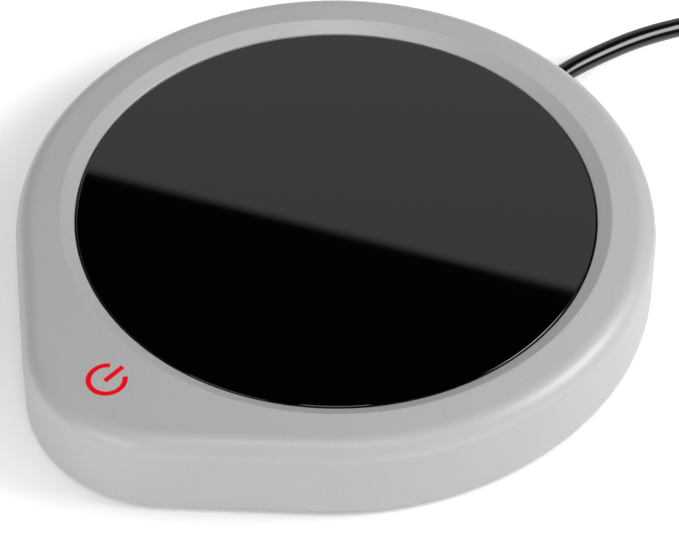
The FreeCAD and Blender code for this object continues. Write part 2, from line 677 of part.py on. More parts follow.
def make_upper_shell():
    """The casing: side and top in one moulding, with the sloped band, the guide ring and the screw bosses."""
    body = new_body("upper_shell", y=PLATE_Y)
    outline = new_sketch(body, "outline", height="dims.foot_height")
    draw_teardrop(outline, "0")
    form = pad(body, outline, "dims.shell_height", taper="-dims.draft")
    rounded(body, form, SHELL_TOP, "dims.edge_round")

    cavity = new_sketch(body, "cavity", height="dims.foot_height")
    draw_teardrop(cavity, "dims.wall")
    hollow = pocket(body, cavity, "dims.shell_height - dims.wall", upwards=True, taper="-dims.draft")
    rounded(body, hollow, CEILING, "dims.edge_round - dims.wall")

    ring = new_sketch(body, "lip_and_guide", plane="XZ_Plane")
    draw_polygon(ring, [
        ("dims.plate_radius", LIP_BOTTOM),
        ("dims.skirt_radius", LIP_BOTTOM),
        ("dims.skirt_radius", "dims.skirt_bottom"),
        ("dims.skirt_radius + dims.skirt_wall", "dims.skirt_bottom"),
        ("dims.skirt_radius + dims.skirt_wall", f"{CEILING} + {OVERLAP}"),
        ("dims.plate_radius", f"{CEILING} + {OVERLAP}"),
    ])
    turned(body, ring)

    dish = new_sketch(body, "dish", plane="XZ_Plane")
    draw_polygon(dish, [
        ("0", f"{LIP_BOTTOM} - {OVERCUT}"),
        (APERTURE, f"{LIP_BOTTOM} - {OVERCUT}"),
        (APERTURE, PLATE_TOP),
        ("dims.dish_radius", SHELL_TOP),
        ("dims.dish_radius", f"{SHELL_TOP} + {OVERCUT}"),
        ("0", f"{SHELL_TOP} + {OVERCUT}"),
    ])
    turned(body, dish, cut=True)

    notch = new_sketch(body, "arm_notch", height=LIP_BOTTOM, turn="dims.arm_angle")
    draw_rectangle(
        notch, "dims.arm_width + 2 * dims.arm_room", f"dims.skirt_wall + 2 * {OVERCUT}",
        y="-(dims.skirt_radius + dims.skirt_wall / 2)",
    )
    pocket(body, notch, f"{LIP_BOTTOM} - dims.skirt_bottom + {OVERCUT}")

    bosses = new_sketch(body, "bosses", height="dims.boss_foot")
    for x, y in CASE_SCREWS:
        draw_circle(bosses, "dims.boss_radius", x, y)
    pad(body, bosses, f"{CEILING} + {OVERLAP} - dims.boss_foot")
    pilots = new_sketch(body, "pilot_holes", height="dims.boss_foot")
    for x, y in CASE_SCREWS:
        draw_circle(pilots, f"dims.screw_radius + {SCREW_FIT}", x, y)
    screw_tip = f"({SCREW_SEAT} + dims.screw_length)"
    pocket(body, pilots, f"{screw_tip} + dims.pilot_spare - dims.boss_foot", upwards=True)

    inside = f"({WALL_BACK} - 2 * dims.wall)"
    hole = new_sketch(
        body, "cord_hole", plane="XZ_Plane", x="dims.cord_x", y="dims.cord_z",
        height=f"{PLATE_Y} - {inside}",
    )
    draw_circle(hole, f"dims.bush_radius + {RUNNING_GAP}")
    pocket(body, hole, f"2 * dims.wall + {OVERCUT}")

    sign_y = f"-dims.symbol_y - {PLATE_Y}"
    ring_cut = new_sketch(body, "sign_ring", height=SHELL_TOP, y=sign_y)
    draw_ring_sector(
        ring_cut,
        "(dims.symbol_radius - dims.symbol_stroke - dims.symbol_fit)",
        "(dims.symbol_radius + dims.symbol_fit)",
        "(dims.symbol_gap - dims.symbol_fit_angle)",
    )
    pocket(body, ring_cut, f"dims.wall + {OVERCUT}")
    bar_cut = new_sketch(body, "sign_bar", height=SHELL_TOP, y=sign_y)
    draw_rectangle(
        bar_cut,
        "(dims.symbol_stroke + 2 * dims.symbol_fit)",
        "(dims.symbol_bar_out + dims.symbol_bar_in + 2 * dims.symbol_fit)",
        y="((dims.symbol_bar_out - dims.symbol_bar_in) / 2)",
    )
    pocket(body, bar_cut, f"dims.wall + {OVERCUT}")


def make_base_cover():
    """The bottom cover, with posts for the springs, bosses for the screws and rests for what lies inside."""
    body = new_body("base_cover", y=PLATE_Y)
    outline = new_sketch(body, "outline", height=BASE_BOTTOM)
    draw_teardrop(outline, "(dims.wall + dims.base_gap)")
    floor = pad(body, outline, "dims.base_thick")
    rounded(body, floor, BASE_BOTTOM, "dims.base_bevel", kind="PartDesign::Chamfer")

    bosses = new_sketch(body, "bosses", height=BASE_TOP)
    for x, y in CASE_SCREWS:
        draw_circle(bosses, "dims.boss_radius", x, y)
    pad(body, bosses, f"dims.boss_foot - {BASE_TOP}")

    posts = new_sketch(body, "spring_posts", height=BASE_TOP)
    for angle in SPRINGS.values():
        draw_circle(posts, "dims.post_radius", *spring_place(angle))
    pad(body, posts, f"dims.post_top - {BASE_TOP}")

    clamp_y = f"dims.clamp_y - {PLATE_Y}"
    clamp_bosses = new_sketch(body, "clamp_bosses", height=BASE_TOP)
    for side in ("-", "+"):
        draw_circle(clamp_bosses, "dims.small_boss", f"dims.cord_x {side} dims.clamp_screw_x", clamp_y)
    pad(body, clamp_bosses, f"{CLAMP_BOTTOM} - {BASE_TOP}")
    cradle = new_sketch(body, "cord_rest", height=BASE_TOP)
    draw_rectangle(cradle, "dims.cradle_width", "dims.clamp_width", "dims.cord_x", clamp_y)
    pad(body, cradle, f"dims.cord_z - {CORD_RADIUS} - {BASE_TOP}")

    board_y = f"-dims.board_screw_y - {PLATE_Y}"
    rests = new_sketch(body, "board_rests", height=BASE_TOP)
    for side in ("-", ""):
        draw_circle(rests, "dims.small_boss", f"{side}dims.board_screw_x", board_y)
    draw_circle(rests, "dims.board_pillar", "0", f"-dims.symbol_y - {PLATE_Y}")
    pad(body, rests, f"dims.board_bottom - {BASE_TOP}")

    head_room = new_sketch(body, "screw_heads", height=BASE_BOTTOM)
    for x, y in CASE_SCREWS:
        draw_circle(head_room, "dims.screw_head + dims.head_room", x, y)
    pocket(body, head_room, f"{SCREW_SEAT} - {BASE_BOTTOM}", upwards=True)
    shanks = new_sketch(body, "screw_holes", height="dims.boss_foot")
    for x, y in CASE_SCREWS:
        draw_circle(shanks, "dims.screw_radius + dims.shank_room", x, y)
    pocket(body, shanks, f"dims.boss_foot - {BASE_BOTTOM}")

    clamp_pilots = new_sketch(body, "clamp_pilots", height=CLAMP_BOTTOM)
    for side in ("-", "+"):
        draw_circle(
            clamp_pilots, f"dims.screw_radius + {SCREW_FIT}",
            f"dims.cord_x {side} dims.clamp_screw_x", clamp_y,
        )
    pocket(body, clamp_pilots, "dims.clamp_screw_length - dims.clamp_thick + dims.pilot_spare")
    board_pilots = new_sketch(body, "board_pilots", height="dims.board_bottom")
    for side in ("-", ""):
        draw_circle(board_pilots, f"dims.small_screw + {SCREW_FIT}", f"{side}dims.board_screw_x", board_y)
    pocket(body, board_pilots, "dims.board_pilot")

    foot_pockets = new_sketch(body, "foot_pockets", height=BASE_BOTTOM)
    for x, y in FEET.values():
        draw_circle(foot_pockets, f"dims.foot_radius + {RUNNING_GAP}", x, f"{y} - {PLATE_Y}")
    pocket(body, foot_pockets, "dims.foot_sink", upwards=True)
    label = new_sketch(body, "rating_plate_recess", height=BASE_BOTTOM)
    draw_rectangle(label, "dims.label_width", "dims.label_length")
    pocket(body, label, "dims.label_depth", upwards=True)


def make_feet():
    """Four rubber discs, glued into pockets of the bottom cover."""
    for label, (x, y) in FEET.items():
        body = new_body(label, x, y)
        disc = new_sketch(body, "disc")
        draw_circle(disc, "dims.foot_radius")
        form = pad(body, disc, f"{BASE_BOTTOM} + dims.foot_sink")
        rounded(body, form, "0", "dims.foot_round")


def make_glass_plate():
    """Black tempered glass with a ground edge."""
    body = new_body("glass_plate", y=PLATE_Y)
    disc = new_sketch(body, "disc", height=PLATE_BOTTOM)
    draw_circle(disc, "dims.plate_radius")
    form = pad(body, disc, "dims.plate_thick")
    form = rounded(body, form, PLATE_TOP, "dims.plate_bevel", kind="PartDesign::Chamfer")
    rounded(body, form, PLATE_BOTTOM, "dims.plate_bevel", kind="PartDesign::Chamfer")


def make_plate_gasket():
    """Silicone ring that bonds the glass to the tray."""
    body = new_body("plate_gasket", y=PLATE_Y)
    ring = new_sketch(body, "ring", height=f"{PLATE_BOTTOM} - dims.gasket_thick")
    draw_circle(ring, "dims.seat_radius")
    draw_circle(ring, "dims.seat_radius - dims.seat_wall")
    pad(body, ring, "dims.gasket_thick")


def make_heat_spreader():
    """Aluminium disc that spreads the heat under the glass."""
    body = new_body("heat_spreader", y=PLATE_Y)
    disc = new_sketch(body, "disc", height=SPREADER_BOTTOM)
    draw_circle(disc, "dims.heater_radius")
    pad(body, disc, "dims.spreader_thick")


THERMOSTAT_WINDOW = [f"(dims.thermostat_{side} + dims.window_room)" for side in ("length", "width")]

LEADS = {
    "heater_lead_left": ("-dims.lead_left_x", "-dims.lead_left_y"),
    "heater_lead_right": ("dims.lead_right_x", "-dims.lead_right_y"),
}


def make_heating_track():
    """Etched foil track: rings joined by turn-offs on alternate sides of a gap towards the tip."""
    width, pitch = number("dims.track_width"), number("dims.track_pitch")
    thick, low = number("dims.track_thick"), number(TRACK_BOTTOM)
    inner = number("dims.track_inner")
    side = number("dims.track_gap") / 2
    radii = [inner + k * pitch for k in range(round(number("dims.track_rings")))]

    def bar(x0, x1, y0, y1):
        return Part.makeBox(x1 - x0, y1 - y0, thick, Vector(x0, y0, low))

    rings = []
    for radius in radii:
        outer = Part.makeCylinder(radius + width / 2, thick, Vector(0, 0, low))
        rings.append(outer.cut(Part.makeCylinder(radius - width / 2, thick, Vector(0, 0, low))))
    rings = [ring.cut(bar(-side, side, -radii[-1] - width, 0)) for ring in rings]
    turns = []
    for k, (near, far) in enumerate(zip(radii, radii[1:])):
        left = side if k % 2 == 0 else -side - width
        turns.append(bar(left, left + width, -far, -near))
    last = radii[-1]
    turns.append(bar(-side - width / 2, width / 2, -last, -last + width))
    lead_y = number("dims.lead_right_y")
    turns.append(bar(-width / 2, width / 2, -last, -lead_y))
    lead_x = number("dims.lead_right_x") + width / 2
    turns.append(bar(-width / 2, lead_x, -lead_y - width / 2, -lead_y + width / 2))
    track = doc.addObject("Part::Feature", "heating_track")
    track.Shape = rings[0].fuse(rings[1:] + turns).removeSplitter()
    track.Placement = FreeCAD.Placement(Vector(0, number(PLATE_Y), 0), FreeCAD.Rotation())
    keep(track, "heating_track")


def make_heater_pad():
    """Silicone sheet that carries the heating track."""
    body = new_body("heater_pad", y=PLATE_Y)
    disc = new_sketch(body, "disc", height=PAD_BOTTOM)
    draw_circle(disc, "dims.heater_radius")
    for x, y in LEADS.values():
        draw_circle(disc, "dims.lead_diameter / 2 + dims.lead_fit", x, y)
    pad(body, disc, "dims.pad_thick")


def make_insulation_pad():
    """Fibre disc that keeps the heat out of the tray, with a window for the thermostat."""
    body = new_body("insulation_pad", y=PLATE_Y)
    disc = new_sketch(body, "disc", height=TRAY_FLOOR_TOP)
    draw_circle(disc, "dims.seat_radius - dims.seat_wall - dims.pad_gap")
    draw_rectangle(disc, *THERMOSTAT_WINDOW)
    for x, y in LEADS.values():
        draw_circle(disc, "dims.lead_diameter / 2 + dims.through_room", x, y)
    for side in ("-", ""):
        draw_circle(disc, "dims.small_screw + dims.through_room", "0", f"{side}dims.strap_screw_y")
    pad(body, disc, f"{PAD_BOTTOM} - {TRAY_FLOOR_TOP}")


def make_plate_tray():
    """The moving tray: holds the glass and the heater, slides in the guide ring and presses the switch."""
    body = new_body("plate_tray", y=PLATE_Y)
    room = "(dims.plate_radius + dims.rim_gap)"
    seat_in = "(dims.seat_radius - dims.seat_wall)"
    seat_top = f"({PLATE_BOTTOM} - dims.gasket_thick)"
    section = new_sketch(body, "section", plane="XZ_Plane")
    draw_polygon(section, [
        ("0", TRAY_BOTTOM),
        ("dims.tray_radius", TRAY_BOTTOM),
        ("dims.tray_radius", TRAY_TOP),
        (room, TRAY_TOP),
        (room, TRAY_FLOOR_TOP),
        ("dims.seat_radius", TRAY_FLOOR_TOP),
        ("dims.seat_radius", seat_top),
        (seat_in, seat_top),
        (seat_in, TRAY_FLOOR_TOP),
        ("0", TRAY_FLOOR_TOP),
    ])
    turned(body, section)

    arm = new_sketch(body, "switch_arm", height=ARM_BOTTOM, turn="dims.arm_angle")
    root = f"({room} + dims.arm_root)"
    draw_rectangle(
        arm, "dims.arm_width", f"(dims.arm_reach - {root})", y=f"(-(dims.arm_reach + {root}) / 2)"
    )
    pad(body, arm, "dims.arm_thick")

    collars = new_sketch(body, "spring_collars", height=f"{TRAY_BOTTOM} - dims.collar_depth")
    for angle in SPRINGS.values():
        draw_circle(collars, "dims.collar_radius + dims.collar_wall", *spring_place(angle))
        draw_circle(collars, "dims.collar_radius", *spring_place(angle))
    pad(body, collars, "dims.collar_depth")

    openings = new_sketch(body, "openings", height=TRAY_FLOOR_TOP)
    draw_rectangle(openings, *THERMOSTAT_WINDOW)
    for x, y in LEADS.values():
        draw_circle(openings, "dims.lead_diameter / 2 + dims.through_room", x, y)
    for side in ("-", ""):
        draw_circle(openings, f"dims.small_screw + {SCREW_FIT}", "0", f"{side}dims.strap_screw_y")
    pocket(body, openings, f"dims.tray_floor + {OVERCUT}")


def make_thermostat():
    """Flat bimetal switch pressed against the heater, its strap and the strap's screws."""
    body = new_body("thermostat", y=PLATE_Y)
    case = new_sketch(body, "case", height=f"{PAD_BOTTOM} - dims.thermostat_thick")
    draw_rectangle(case, "dims.thermostat_length", "dims.thermostat_width")
    form = pad(body, case, "dims.thermostat_thick")
    rounded(body, form, f"{PAD_BOTTOM} - dims.thermostat_thick", "dims.thermostat_round")

    strap = new_body("thermostat_strap", y=PLATE_Y)
    low = f"({PAD_BOTTOM} - dims.thermostat_thick)"
    knee = "(dims.thermostat_width / 2 + dims.strap_slack)"
    toe = "(dims.strap_screw_y + dims.strap_toe)"
    under = f"({TRAY_BOTTOM} - dims.strap_thick)"
    profile = new_sketch(strap, "profile", plane="YZ_Plane")
    draw_polygon(profile, [
        (f"-{toe}", under),
        (f"-{knee} - dims.strap_thick", under),
        (f"-{knee} - dims.strap_thick", f"{low} - dims.strap_thick"),
        (f"{knee} + dims.strap_thick", f"{low} - dims.strap_thick"),
        (f"{knee} + dims.strap_thick", under),
        (toe, under),
        (toe, TRAY_BOTTOM),
        (knee, TRAY_BOTTOM),
        (knee, low),
        (f"-{knee}", low),
        (f"-{knee}", TRAY_BOTTOM),
        (f"-{toe}", TRAY_BOTTOM),
    ])
    pad(strap, profile, "dims.strap_width", both_ways=True)
    holes = new_sketch(strap, "screw_holes", height=TRAY_BOTTOM)
    for side in ("-", ""):
        draw_circle(holes, f"dims.small_screw + {RUNNING_GAP}", "0", f"{side}dims.strap_screw_y")
    pocket(strap, holes, f"dims.strap_thick + {OVERCUT}")

    y, away = number(PLATE_Y), number("dims.strap_screw_y")
    sizes = [number(f"dims.{name}") for name in (
        "strap_screw_head", "strap_head_thick", "small_screw", "strap_screw_length",
    )]
    screw_group("strap_screws", [(0, y - away), (0, y + away)], number(under), *sizes, head_up=False)


def make_springs():
    """Three compression springs between the bottom cover's posts and the tray."""
    radius, wire = number("dims.spring_radius"), number("dims.spring_wire")
    low, high = number(BASE_TOP) + wire / 2, number(TRAY_BOTTOM) - wire / 2
    steps = round(number("dims.spring_turns") * 4)
    climb = (high - low) / (steps * math.pi / 2)
    for label, angle in SPRINGS.items():
        x, y = spring_place(angle)
        middle = spot(x, f"{y} + {PLATE_Y}", "0")
        points, headings = [], []
        for k in range(steps + 1):
            turn = k * math.pi / 2
            out = Vector(math.cos(turn), math.sin(turn), 0)
            points.append(middle + out * radius + UP * (low + climb * turn))
            headings.append(Vector(-radius * math.sin(turn), radius * math.cos(turn), climb).normalize())
        tube_along(label, Part.Wire(winding_path(points, headings)), wire)


def make_switch():
    """Snap switch on the circuit board, and the plunger that the tray's arm presses."""
    x = "dims.switch_circle * sin(dims.arm_angle)"
    y = f"{PLATE_Y} - dims.switch_circle * cos(dims.arm_angle)"
    case = new_body("switch_case", x, y, turn="dims.arm_angle")
    block = new_sketch(case, "block", height=BOARD_TOP)
    draw_rectangle(block, "dims.switch_length", "dims.switch_depth")
    pad(case, block, "dims.switch_height")
    well = new_sketch(case, "well", height=SWITCH_TOP)
    draw_rectangle(well, *(f"(dims.plunger_{side} + dims.plunger_room)" for side in ("length", "depth")))
    pocket(case, well, "dims.plunger_sunk + dims.plate_travel + dims.plunger_spare")

    plunger = new_body("switch_plunger", x, y, turn="dims.arm_angle")
    stem = new_sketch(plunger, "stem", height=f"{SWITCH_TOP} - dims.plunger_sunk")
    draw_rectangle(stem, "dims.plunger_length", "dims.plunger_depth")
    top = f"({ARM_BOTTOM} - {RUNNING_GAP})"
    form = pad(plunger, stem, f"{top} - ({SWITCH_TOP} - dims.plunger_sunk)")
    rounded(plunger, form, top, "dims.plunger_round")


def make_block(label):
    """A small moulded block standing on the circuit board."""
    body = new_body(label, f"dims.{label}_x", f"-dims.{label}_y")
    base = new_sketch(body, "base", height=BOARD_TOP)
    draw_rectangle(base, f"dims.{label}_width", f"dims.{label}_length")
    form = pad(body, base, f"dims.{label}_height")
    rounded(body, form, f"{BOARD_TOP} + dims.{label}_height", f"dims.{label}_edge")


def make_can(label, x, y, name):
    """A small upright cylinder on the circuit board, with sizes of the given name."""
    body = new_body(label, x, y)
    base = new_sketch(body, "base", height=BOARD_TOP)
    draw_circle(base, f"dims.{name}_radius")
    form = pad(body, base, f"dims.{name}_height")
    rounded(body, form, f"{BOARD_TOP} + dims.{name}_height", f"dims.{name}_round")


def make_circuit_board():
    """The control board in the tip, and what is soldered to it."""
    board = new_body("circuit_board")
    outline = new_sketch(board, "outline", height="dims.board_bottom")
    draw_polygon(outline, [
        ("-dims.board_half", "-dims.board_back"),
        ("-dims.board_half", "-dims.board_shoulder"),
        ("-dims.board_nose", "-dims.board_front"),
        ("dims.board_nose", "-dims.board_front"),
        ("dims.board_half", "-dims.board_shoulder"),
        ("dims.board_half", "-dims.board_back"),
    ])
    for side in ("-", ""):
        draw_circle(
            outline, "dims.small_screw + dims.shank_room",
            f"{side}dims.board_screw_x", "-dims.board_screw_y",
        )
    pad(board, outline, "dims.board_thick")

    for label in BLOCKS:
        make_block(label)
    make_can("smoothing_capacitor", "dims.smoother_x", "-dims.smoother_y", "smoother")
    make_can("indicator_led", "0", "-dims.symbol_y", "led")

    fuse = doc.addObject("Part::Cylinder", "power_fuse")
    fuse.setExpression("Radius", "dims.fuse_radius")
    fuse.setExpression("Height", "dims.fuse_length")
    fuse.Placement = FreeCAD.Placement(Vector(), FreeCAD.Rotation(Vector(0, 1, 0), 90))
    for axis, text in (("x", "dims.fuse_x"), ("y", "-dims.fuse_y"), ("z", f"{BOARD_TOP} + dims.fuse_lift")):
        fuse.setExpression(f".Placement.Base.{axis}", text)
    keep(fuse, "power_fuse")

    x, y = number("dims.board_screw_x"), -number("dims.board_screw_y")
    sizes = [number(f"dims.{name}") for name in (
        "board_screw_head", "board_head_thick", "small_screw", "board_screw_length",
    )]
    screw_group("board_screws", [(-x, y), (x, y)], number(BOARD_TOP), *sizes, head_up=True)


def make_power_symbol():
    """The lit power sign: its ring and bar stand flush in the casing's top, on a light guide."""
    body = new_body("power_symbol", y="-dims.symbol_y")
    plate = new_sketch(body, "plate", height=f"{CEILING} - dims.guide_thick")
    draw_circle(plate, "dims.guide_radius")
    pad(body, plate, "dims.guide_thick")
    ring = new_sketch(body, "ring", height=CEILING)
    inner = "(dims.symbol_radius - dims.symbol_stroke)"
    draw_ring_sector(ring, inner, "dims.symbol_radius", "dims.symbol_gap")
    pad(body, ring, "dims.wall")
    bar = new_sketch(body, "bar", height=CEILING)
    draw_rectangle(
        bar, "dims.symbol_stroke", "(dims.symbol_bar_out + dims.symbol_bar_in)",
        y="((dims.symbol_bar_out - dims.symbol_bar_in) / 2)",
    )
    pad(body, bar, "dims.wall")
    foot = f"({BOARD_TOP} + dims.led_height + dims.led_gap)"
    stem = new_sketch(body, "stem", height=foot)
    draw_circle(stem, "dims.guide_stem")
    pad(body, stem, f"{CEILING} - dims.guide_thick - {foot}")


def make_cord_entry():
    """The bush in the wall, the clamp behind it and the sheathed end of the cord that they hold."""
    bush = new_body("cord_bush", "dims.cord_x", "0", "dims.cord_z")
    section = new_sketch(bush, "section")
    bore = f"{CORD_RADIUS} + {SCREW_FIT}"
    inner = f"({WALL_BACK} - dims.bush_inner)"
    draw_polygon(section, [
        (bore, f"{inner} - dims.flange_thick"),
        ("dims.bush_flange", f"{inner} - dims.flange_thick"),
        ("dims.bush_flange", inner),
        ("dims.bush_radius", inner),
        ("dims.bush_radius", WALL_BACK),
        ("dims.bush_flange", WALL_BACK),
        ("dims.bush_flange", f"{WALL_BACK} + dims.bush_proud / 2"),
        ("dims.bush_flange - dims.bush_proud / 2", BUSH_FACE),
        (bore, BUSH_FACE),
    ])
    turned(bush, section)

    bar = new_body("cord_clamp", "dims.cord_x", "dims.clamp_y")
    plate = new_sketch(bar, "plate", height=CLAMP_BOTTOM)
    draw_rectangle(plate, "dims.clamp_length", "dims.clamp_width")
    for side in ("-", ""):
        draw_circle(plate, "dims.screw_radius + dims.shank_room", f"{side}dims.clamp_screw_x")
    pad(bar, plate, "dims.clamp_thick")

    x, y, away = number("dims.cord_x"), number("dims.clamp_y"), number("dims.clamp_screw_x")
    top = number(f"{CLAMP_BOTTOM} + dims.clamp_thick")
    sizes = [number(f"dims.{name}") for name in (
        "clamp_screw_head", "clamp_head_thick", "screw_radius", "clamp_screw_length",
    )]
    screw_group("clamp_screws", [(x - away, y), (x + away, y)], top, *sizes, head_up=True)

    sheath = doc.addObject("Part::Cylinder", "cord_inside")
    sheath.setExpression("Radius", CORD_RADIUS)
    sheath.setExpression("Height", f"{BUSH_FACE} - dims.cord_end_y")
    sheath.Placement = FreeCAD.Placement(Vector(), FreeCAD.Rotation(Vector(1, 0, 0), -90))
    for axis, text in (("x", "dims.cord_x"), ("y", "dims.cord_end_y"), ("z", "dims.cord_z")):
        sheath.setExpression(f".Placement.Base.{axis}", text)
    keep(sheath, "cord_inside")


def make_wires():
    """Mains wires along the bottom cover, and the heater's flexible leads."""
    diameter = number("dims.wire_diameter")
    x, end, z = number("dims.cord_x"), number("dims.cord_end_y"), number("dims.cord_z")
    bend, apart = number("dims.wire_bend_y"), number("dims.wire_apart")
    lift = diameter / 2 + RUNNING_GAP
    levels = {"cover": number(BASE_TOP) + lift, "board": number(BOARD_TOP) + lift}
    for label, side, route in (("live_wire", -0.5, LIVE_ROUTE), ("neutral_wire", 0.5, NEUTRAL_ROUTE)):
        start_x = x + side * apart
        points = [(start_x, end, z), (start_x, bend, z)]
        points += [(along, across, levels[level]) for along, across, level in route]
        routed(label, points, diameter)

    thin = number("dims.lead_diameter")
    foot_x, foot_y, rise_y = (number(f"dims.lead_{name}") for name in ("foot_x", "foot_y", "rise_y"))
    height = number(BOARD_TOP) + thin / 2 + RUNNING_GAP
    for label, (end_x, end_y) in LEADS.items():
        top = spot(end_x, f"{end_y} + {PLATE_Y}", TRACK_BOTTOM)
        board_x = math.copysign(foot_x, top.x)
        routed(label, [
            (board_x, -foot_y, height), (board_x, -rise_y, height), (top.x, top.y, height), tuple(top),
        ], thin)


def make_case_screws():
    """Six self-tapping screws from below, through the cover into the casing's bosses."""
    places = [(number(x), number(f"{y} + {PLATE_Y}")) for x, y in CASE_SCREWS]
    sizes = [number(f"dims.{name}") for name in ("screw_head", "head_thick", "screw_radius", "screw_length")]
    screw_group("case_screws", places, number(SCREW_SEAT), *sizes, head_up=False)


def make_free_cord():
    """The cord from the casing, its put-away coil with a tie, and the last stretch to the plug."""
    diameter = number("dims.cord_diameter")
    lead = routed("cord_lead", LEAD_ROUTE, diameter)

    middle = spot("dims.coil_x", "dims.coil_y", "0")
    step = number("dims.coil_step")
    turns = number("dims.coil_loops + (dims.coil_start - dims.coil_end) / 360")
    outer, start = number("dims.coil_radius"), math.radians(number("dims.coil_start"))
    low = number("dims.coil_lift") + diameter / 2
    half = turns * math.pi
    per_radian = step / (2 * math.pi)
    inner = outer - per_radian * half

    def place(along):
        """The coil's line at an angle travelled, and its heading: in, up a layer and out again."""
        left = along - half
        if abs(left) < math.pi / 2:
            radius = inner + per_radian * (left**2 / math.pi + math.pi / 4)
            drift = per_radian * 2 * left / math.pi
            share = left / math.pi + 0.5
            height = step * share**2 * (3 - 2 * share)
            rise = step * 6 * share * (1 - share) / math.pi
        else:
            radius = inner + per_radian * abs(left)
            drift = 0.0 if along in (0.0, 2 * half) else math.copysign(per_radian, left)
            height, rise = (step, 0.0) if left > 0 else (0.0, 0.0)
        angle = start - along
        out = Vector(math.cos(angle), math.sin(angle), 0)
        onward = Vector(math.sin(angle), -math.cos(angle), 0)
        point = middle + out * radius + UP * (low + height)
        return point, (onward * radius + out * drift + UP * rise).normalize()

    quarter = math.pi / 2
    joints = {0.0, 2 * half, half - quarter, half, half + quarter}
    joints |= {half + side * k * quarter for side in (-1, 1) for k in range(2, int(half / quarter) + 1)}
    stops = [place(along) for along in sorted(joints)]
    points, headings = [p for p, _ in stops], [h for _, h in stops]
    first, last = points[0] - headings[0] * diameter, points[-1] + headings[-1] * diameter
    edges = [Part.LineSegment(first, points[0]).toShape()]
    edges += winding_path(points, headings)
    edges.append(Part.LineSegment(points[-1], last).toShape())
    coil = tube_along("cord_coil", Part.Wire(edges), diameter)
    print(f"cord_coil: from {first} to {last}")
    samples = 60
    line = [place(2 * half * k / (samples * turns))[0] for k in range(int(samples * turns) + 1)]
    print(f"cord_coil: least gap to itself {least_gap(line, diameter, samples // 2):.2f} mm")
    print(f"cord_coil: least radius {inner:.1f} mm, middle of its turns {inner + outer:.1f} mm across")

    tail = routed("cord_tail", TAIL_ROUTE, diameter)
    whole = sum(piece.Shape.Volume for piece in (lead, coil, tail)) / (math.pi * diameter**2 / 4)
    print(f"free cord: {whole:.0f} mm long in all")


def make_cord_tie():
    """Strap round the coil's turns."""
    body = new_body("cord_tie", "dims.coil_x", "dims.coil_y", turn="dims.tie_angle")
    far = "(dims.coil_radius - dims.coil_step * (dims.coil_start - dims.tie_angle) / 360)"
    near = f"({far} - 2 * dims.coil_step)"
    loop = new_sketch(body, "loop", plane="XZ_Plane")
    for grow in ("0", "dims.tie_thick"):
        sides = (
            f"({near} - {CORD_RADIUS} - dims.tie_room - {grow})",
            f"({far} + {CORD_RADIUS} + dims.tie_room + {grow})",
            f"(dims.coil_lift - dims.tie_under - {grow})",
            f"(dims.coil_lift + dims.coil_step + dims.cord_diameter + dims.tie_over + {grow})",
        )
        draw_rounded_box(loop, sides, f"(dims.tie_round + {grow})")
    pad(body, loop, "dims.tie_width", both_ways=True)


def make_plug():
    """Two-blade plug lying beside the coil: moulded body, ribbed strain relief and blades."""
    back = "(dims.plug_y - dims.relief_length)"
    relief = new_body("plug_relief", "dims.plug_x", "0", "dims.plug_z")
    section = new_sketch(relief, "section")
    ribs = round(number("dims.relief_ribs"))
    margin, groove = 0.15, 0.52
    corners = [("0", back), ("dims.relief_large", back)]
    for k in range(ribs):
        for side, sunk in ((-0.5, "0"), (-0.5, "dims.rib_depth"), (0.5, "dims.rib_depth"), (0.5, "0")):
            along = (margin + k + 0.5 + side * groove) / (ribs + 2 * margin)
            radius = f"dims.relief_large + (dims.relief_small - dims.relief_large) * {along:.4f} - {sunk}"
            corners.append((radius, f"{back} + dims.relief_length * {along:.4f}"))
    corners += [("dims.relief_small", "dims.plug_y"), ("0", "dims.plug_y")]
    draw_polygon(section, corners)
    turned(relief, section)

    body = new_body("plug_body", "dims.plug_x", back)
    outline = new_sketch(body, "outline", height="dims.plug_z - dims.plug_thick / 2")
    draw_polygon(outline, [
        ("-dims.plug_back_width / 2", "0"),
        ("-dims.plug_width / 2", "-dims.plug_shoulder"),
        ("-dims.plug_width / 2", "-dims.plug_length"),
        ("dims.plug_width / 2", "-dims.plug_length"),
        ("dims.plug_width / 2", "-dims.plug_shoulder"),
        ("dims.plug_back_width / 2", "0"),
    ])
    form = pad(body, outline, "dims.plug_thick")
    front = -number("dims.plug_length")
    names = [
        f"Edge{i}"
        for i, edge in enumerate(form.Shape.Edges, start=1)
        if edge.CenterOfMass.y > front + 0.01
    ]
    feature = body.newObject("PartDesign::Fillet", "round")
    feature.Base = (form, names)
    feature.setExpression("Radius", "dims.plug_round")
    doc.recompute()

    for label, side in (("plug_blade_left", "-"), ("plug_blade_right", "+")):
        x = f"dims.plug_x {side} dims.blade_spacing / 2"
        blade = new_body(label, x, f"{back} - dims.plug_length", "dims.plug_z")
        profile = new_sketch(blade, "profile", plane="YZ_Plane")
        draw_polygon(profile, [
            ("0", "-dims.blade_height / 2"),
            ("0", "dims.blade_height / 2"),
            ("dims.blade_point - dims.blade_length", "dims.blade_height / 2"),
            ("-dims.blade_length", "dims.blade_height / 2 - dims.blade_bevel"),
            ("-dims.blade_length", "dims.blade_bevel - dims.blade_height / 2"),
            ("dims.blade_point - dims.blade_length", "-dims.blade_height / 2"),
        ])
        draw_circle(profile, "dims.blade_hole", "dims.blade_hole_in - dims.blade_length")
        pad(blade, profile, "dims.blade_thick", both_ways=True)


make_upper_shell()
make_base_cover()
make_feet()
make_glass_plate()
make_plate_gasket()
make_heat_spreader()
make_heating_track()
make_heater_pad()
make_insulation_pad()
make_plate_tray()
make_thermostat()
make_springs()
make_switch()
make_circuit_board()
make_power_symbol()
make_cord_entry()
make_wires()
make_case_screws()
make_free_cord()
make_cord_tie()
make_plug()

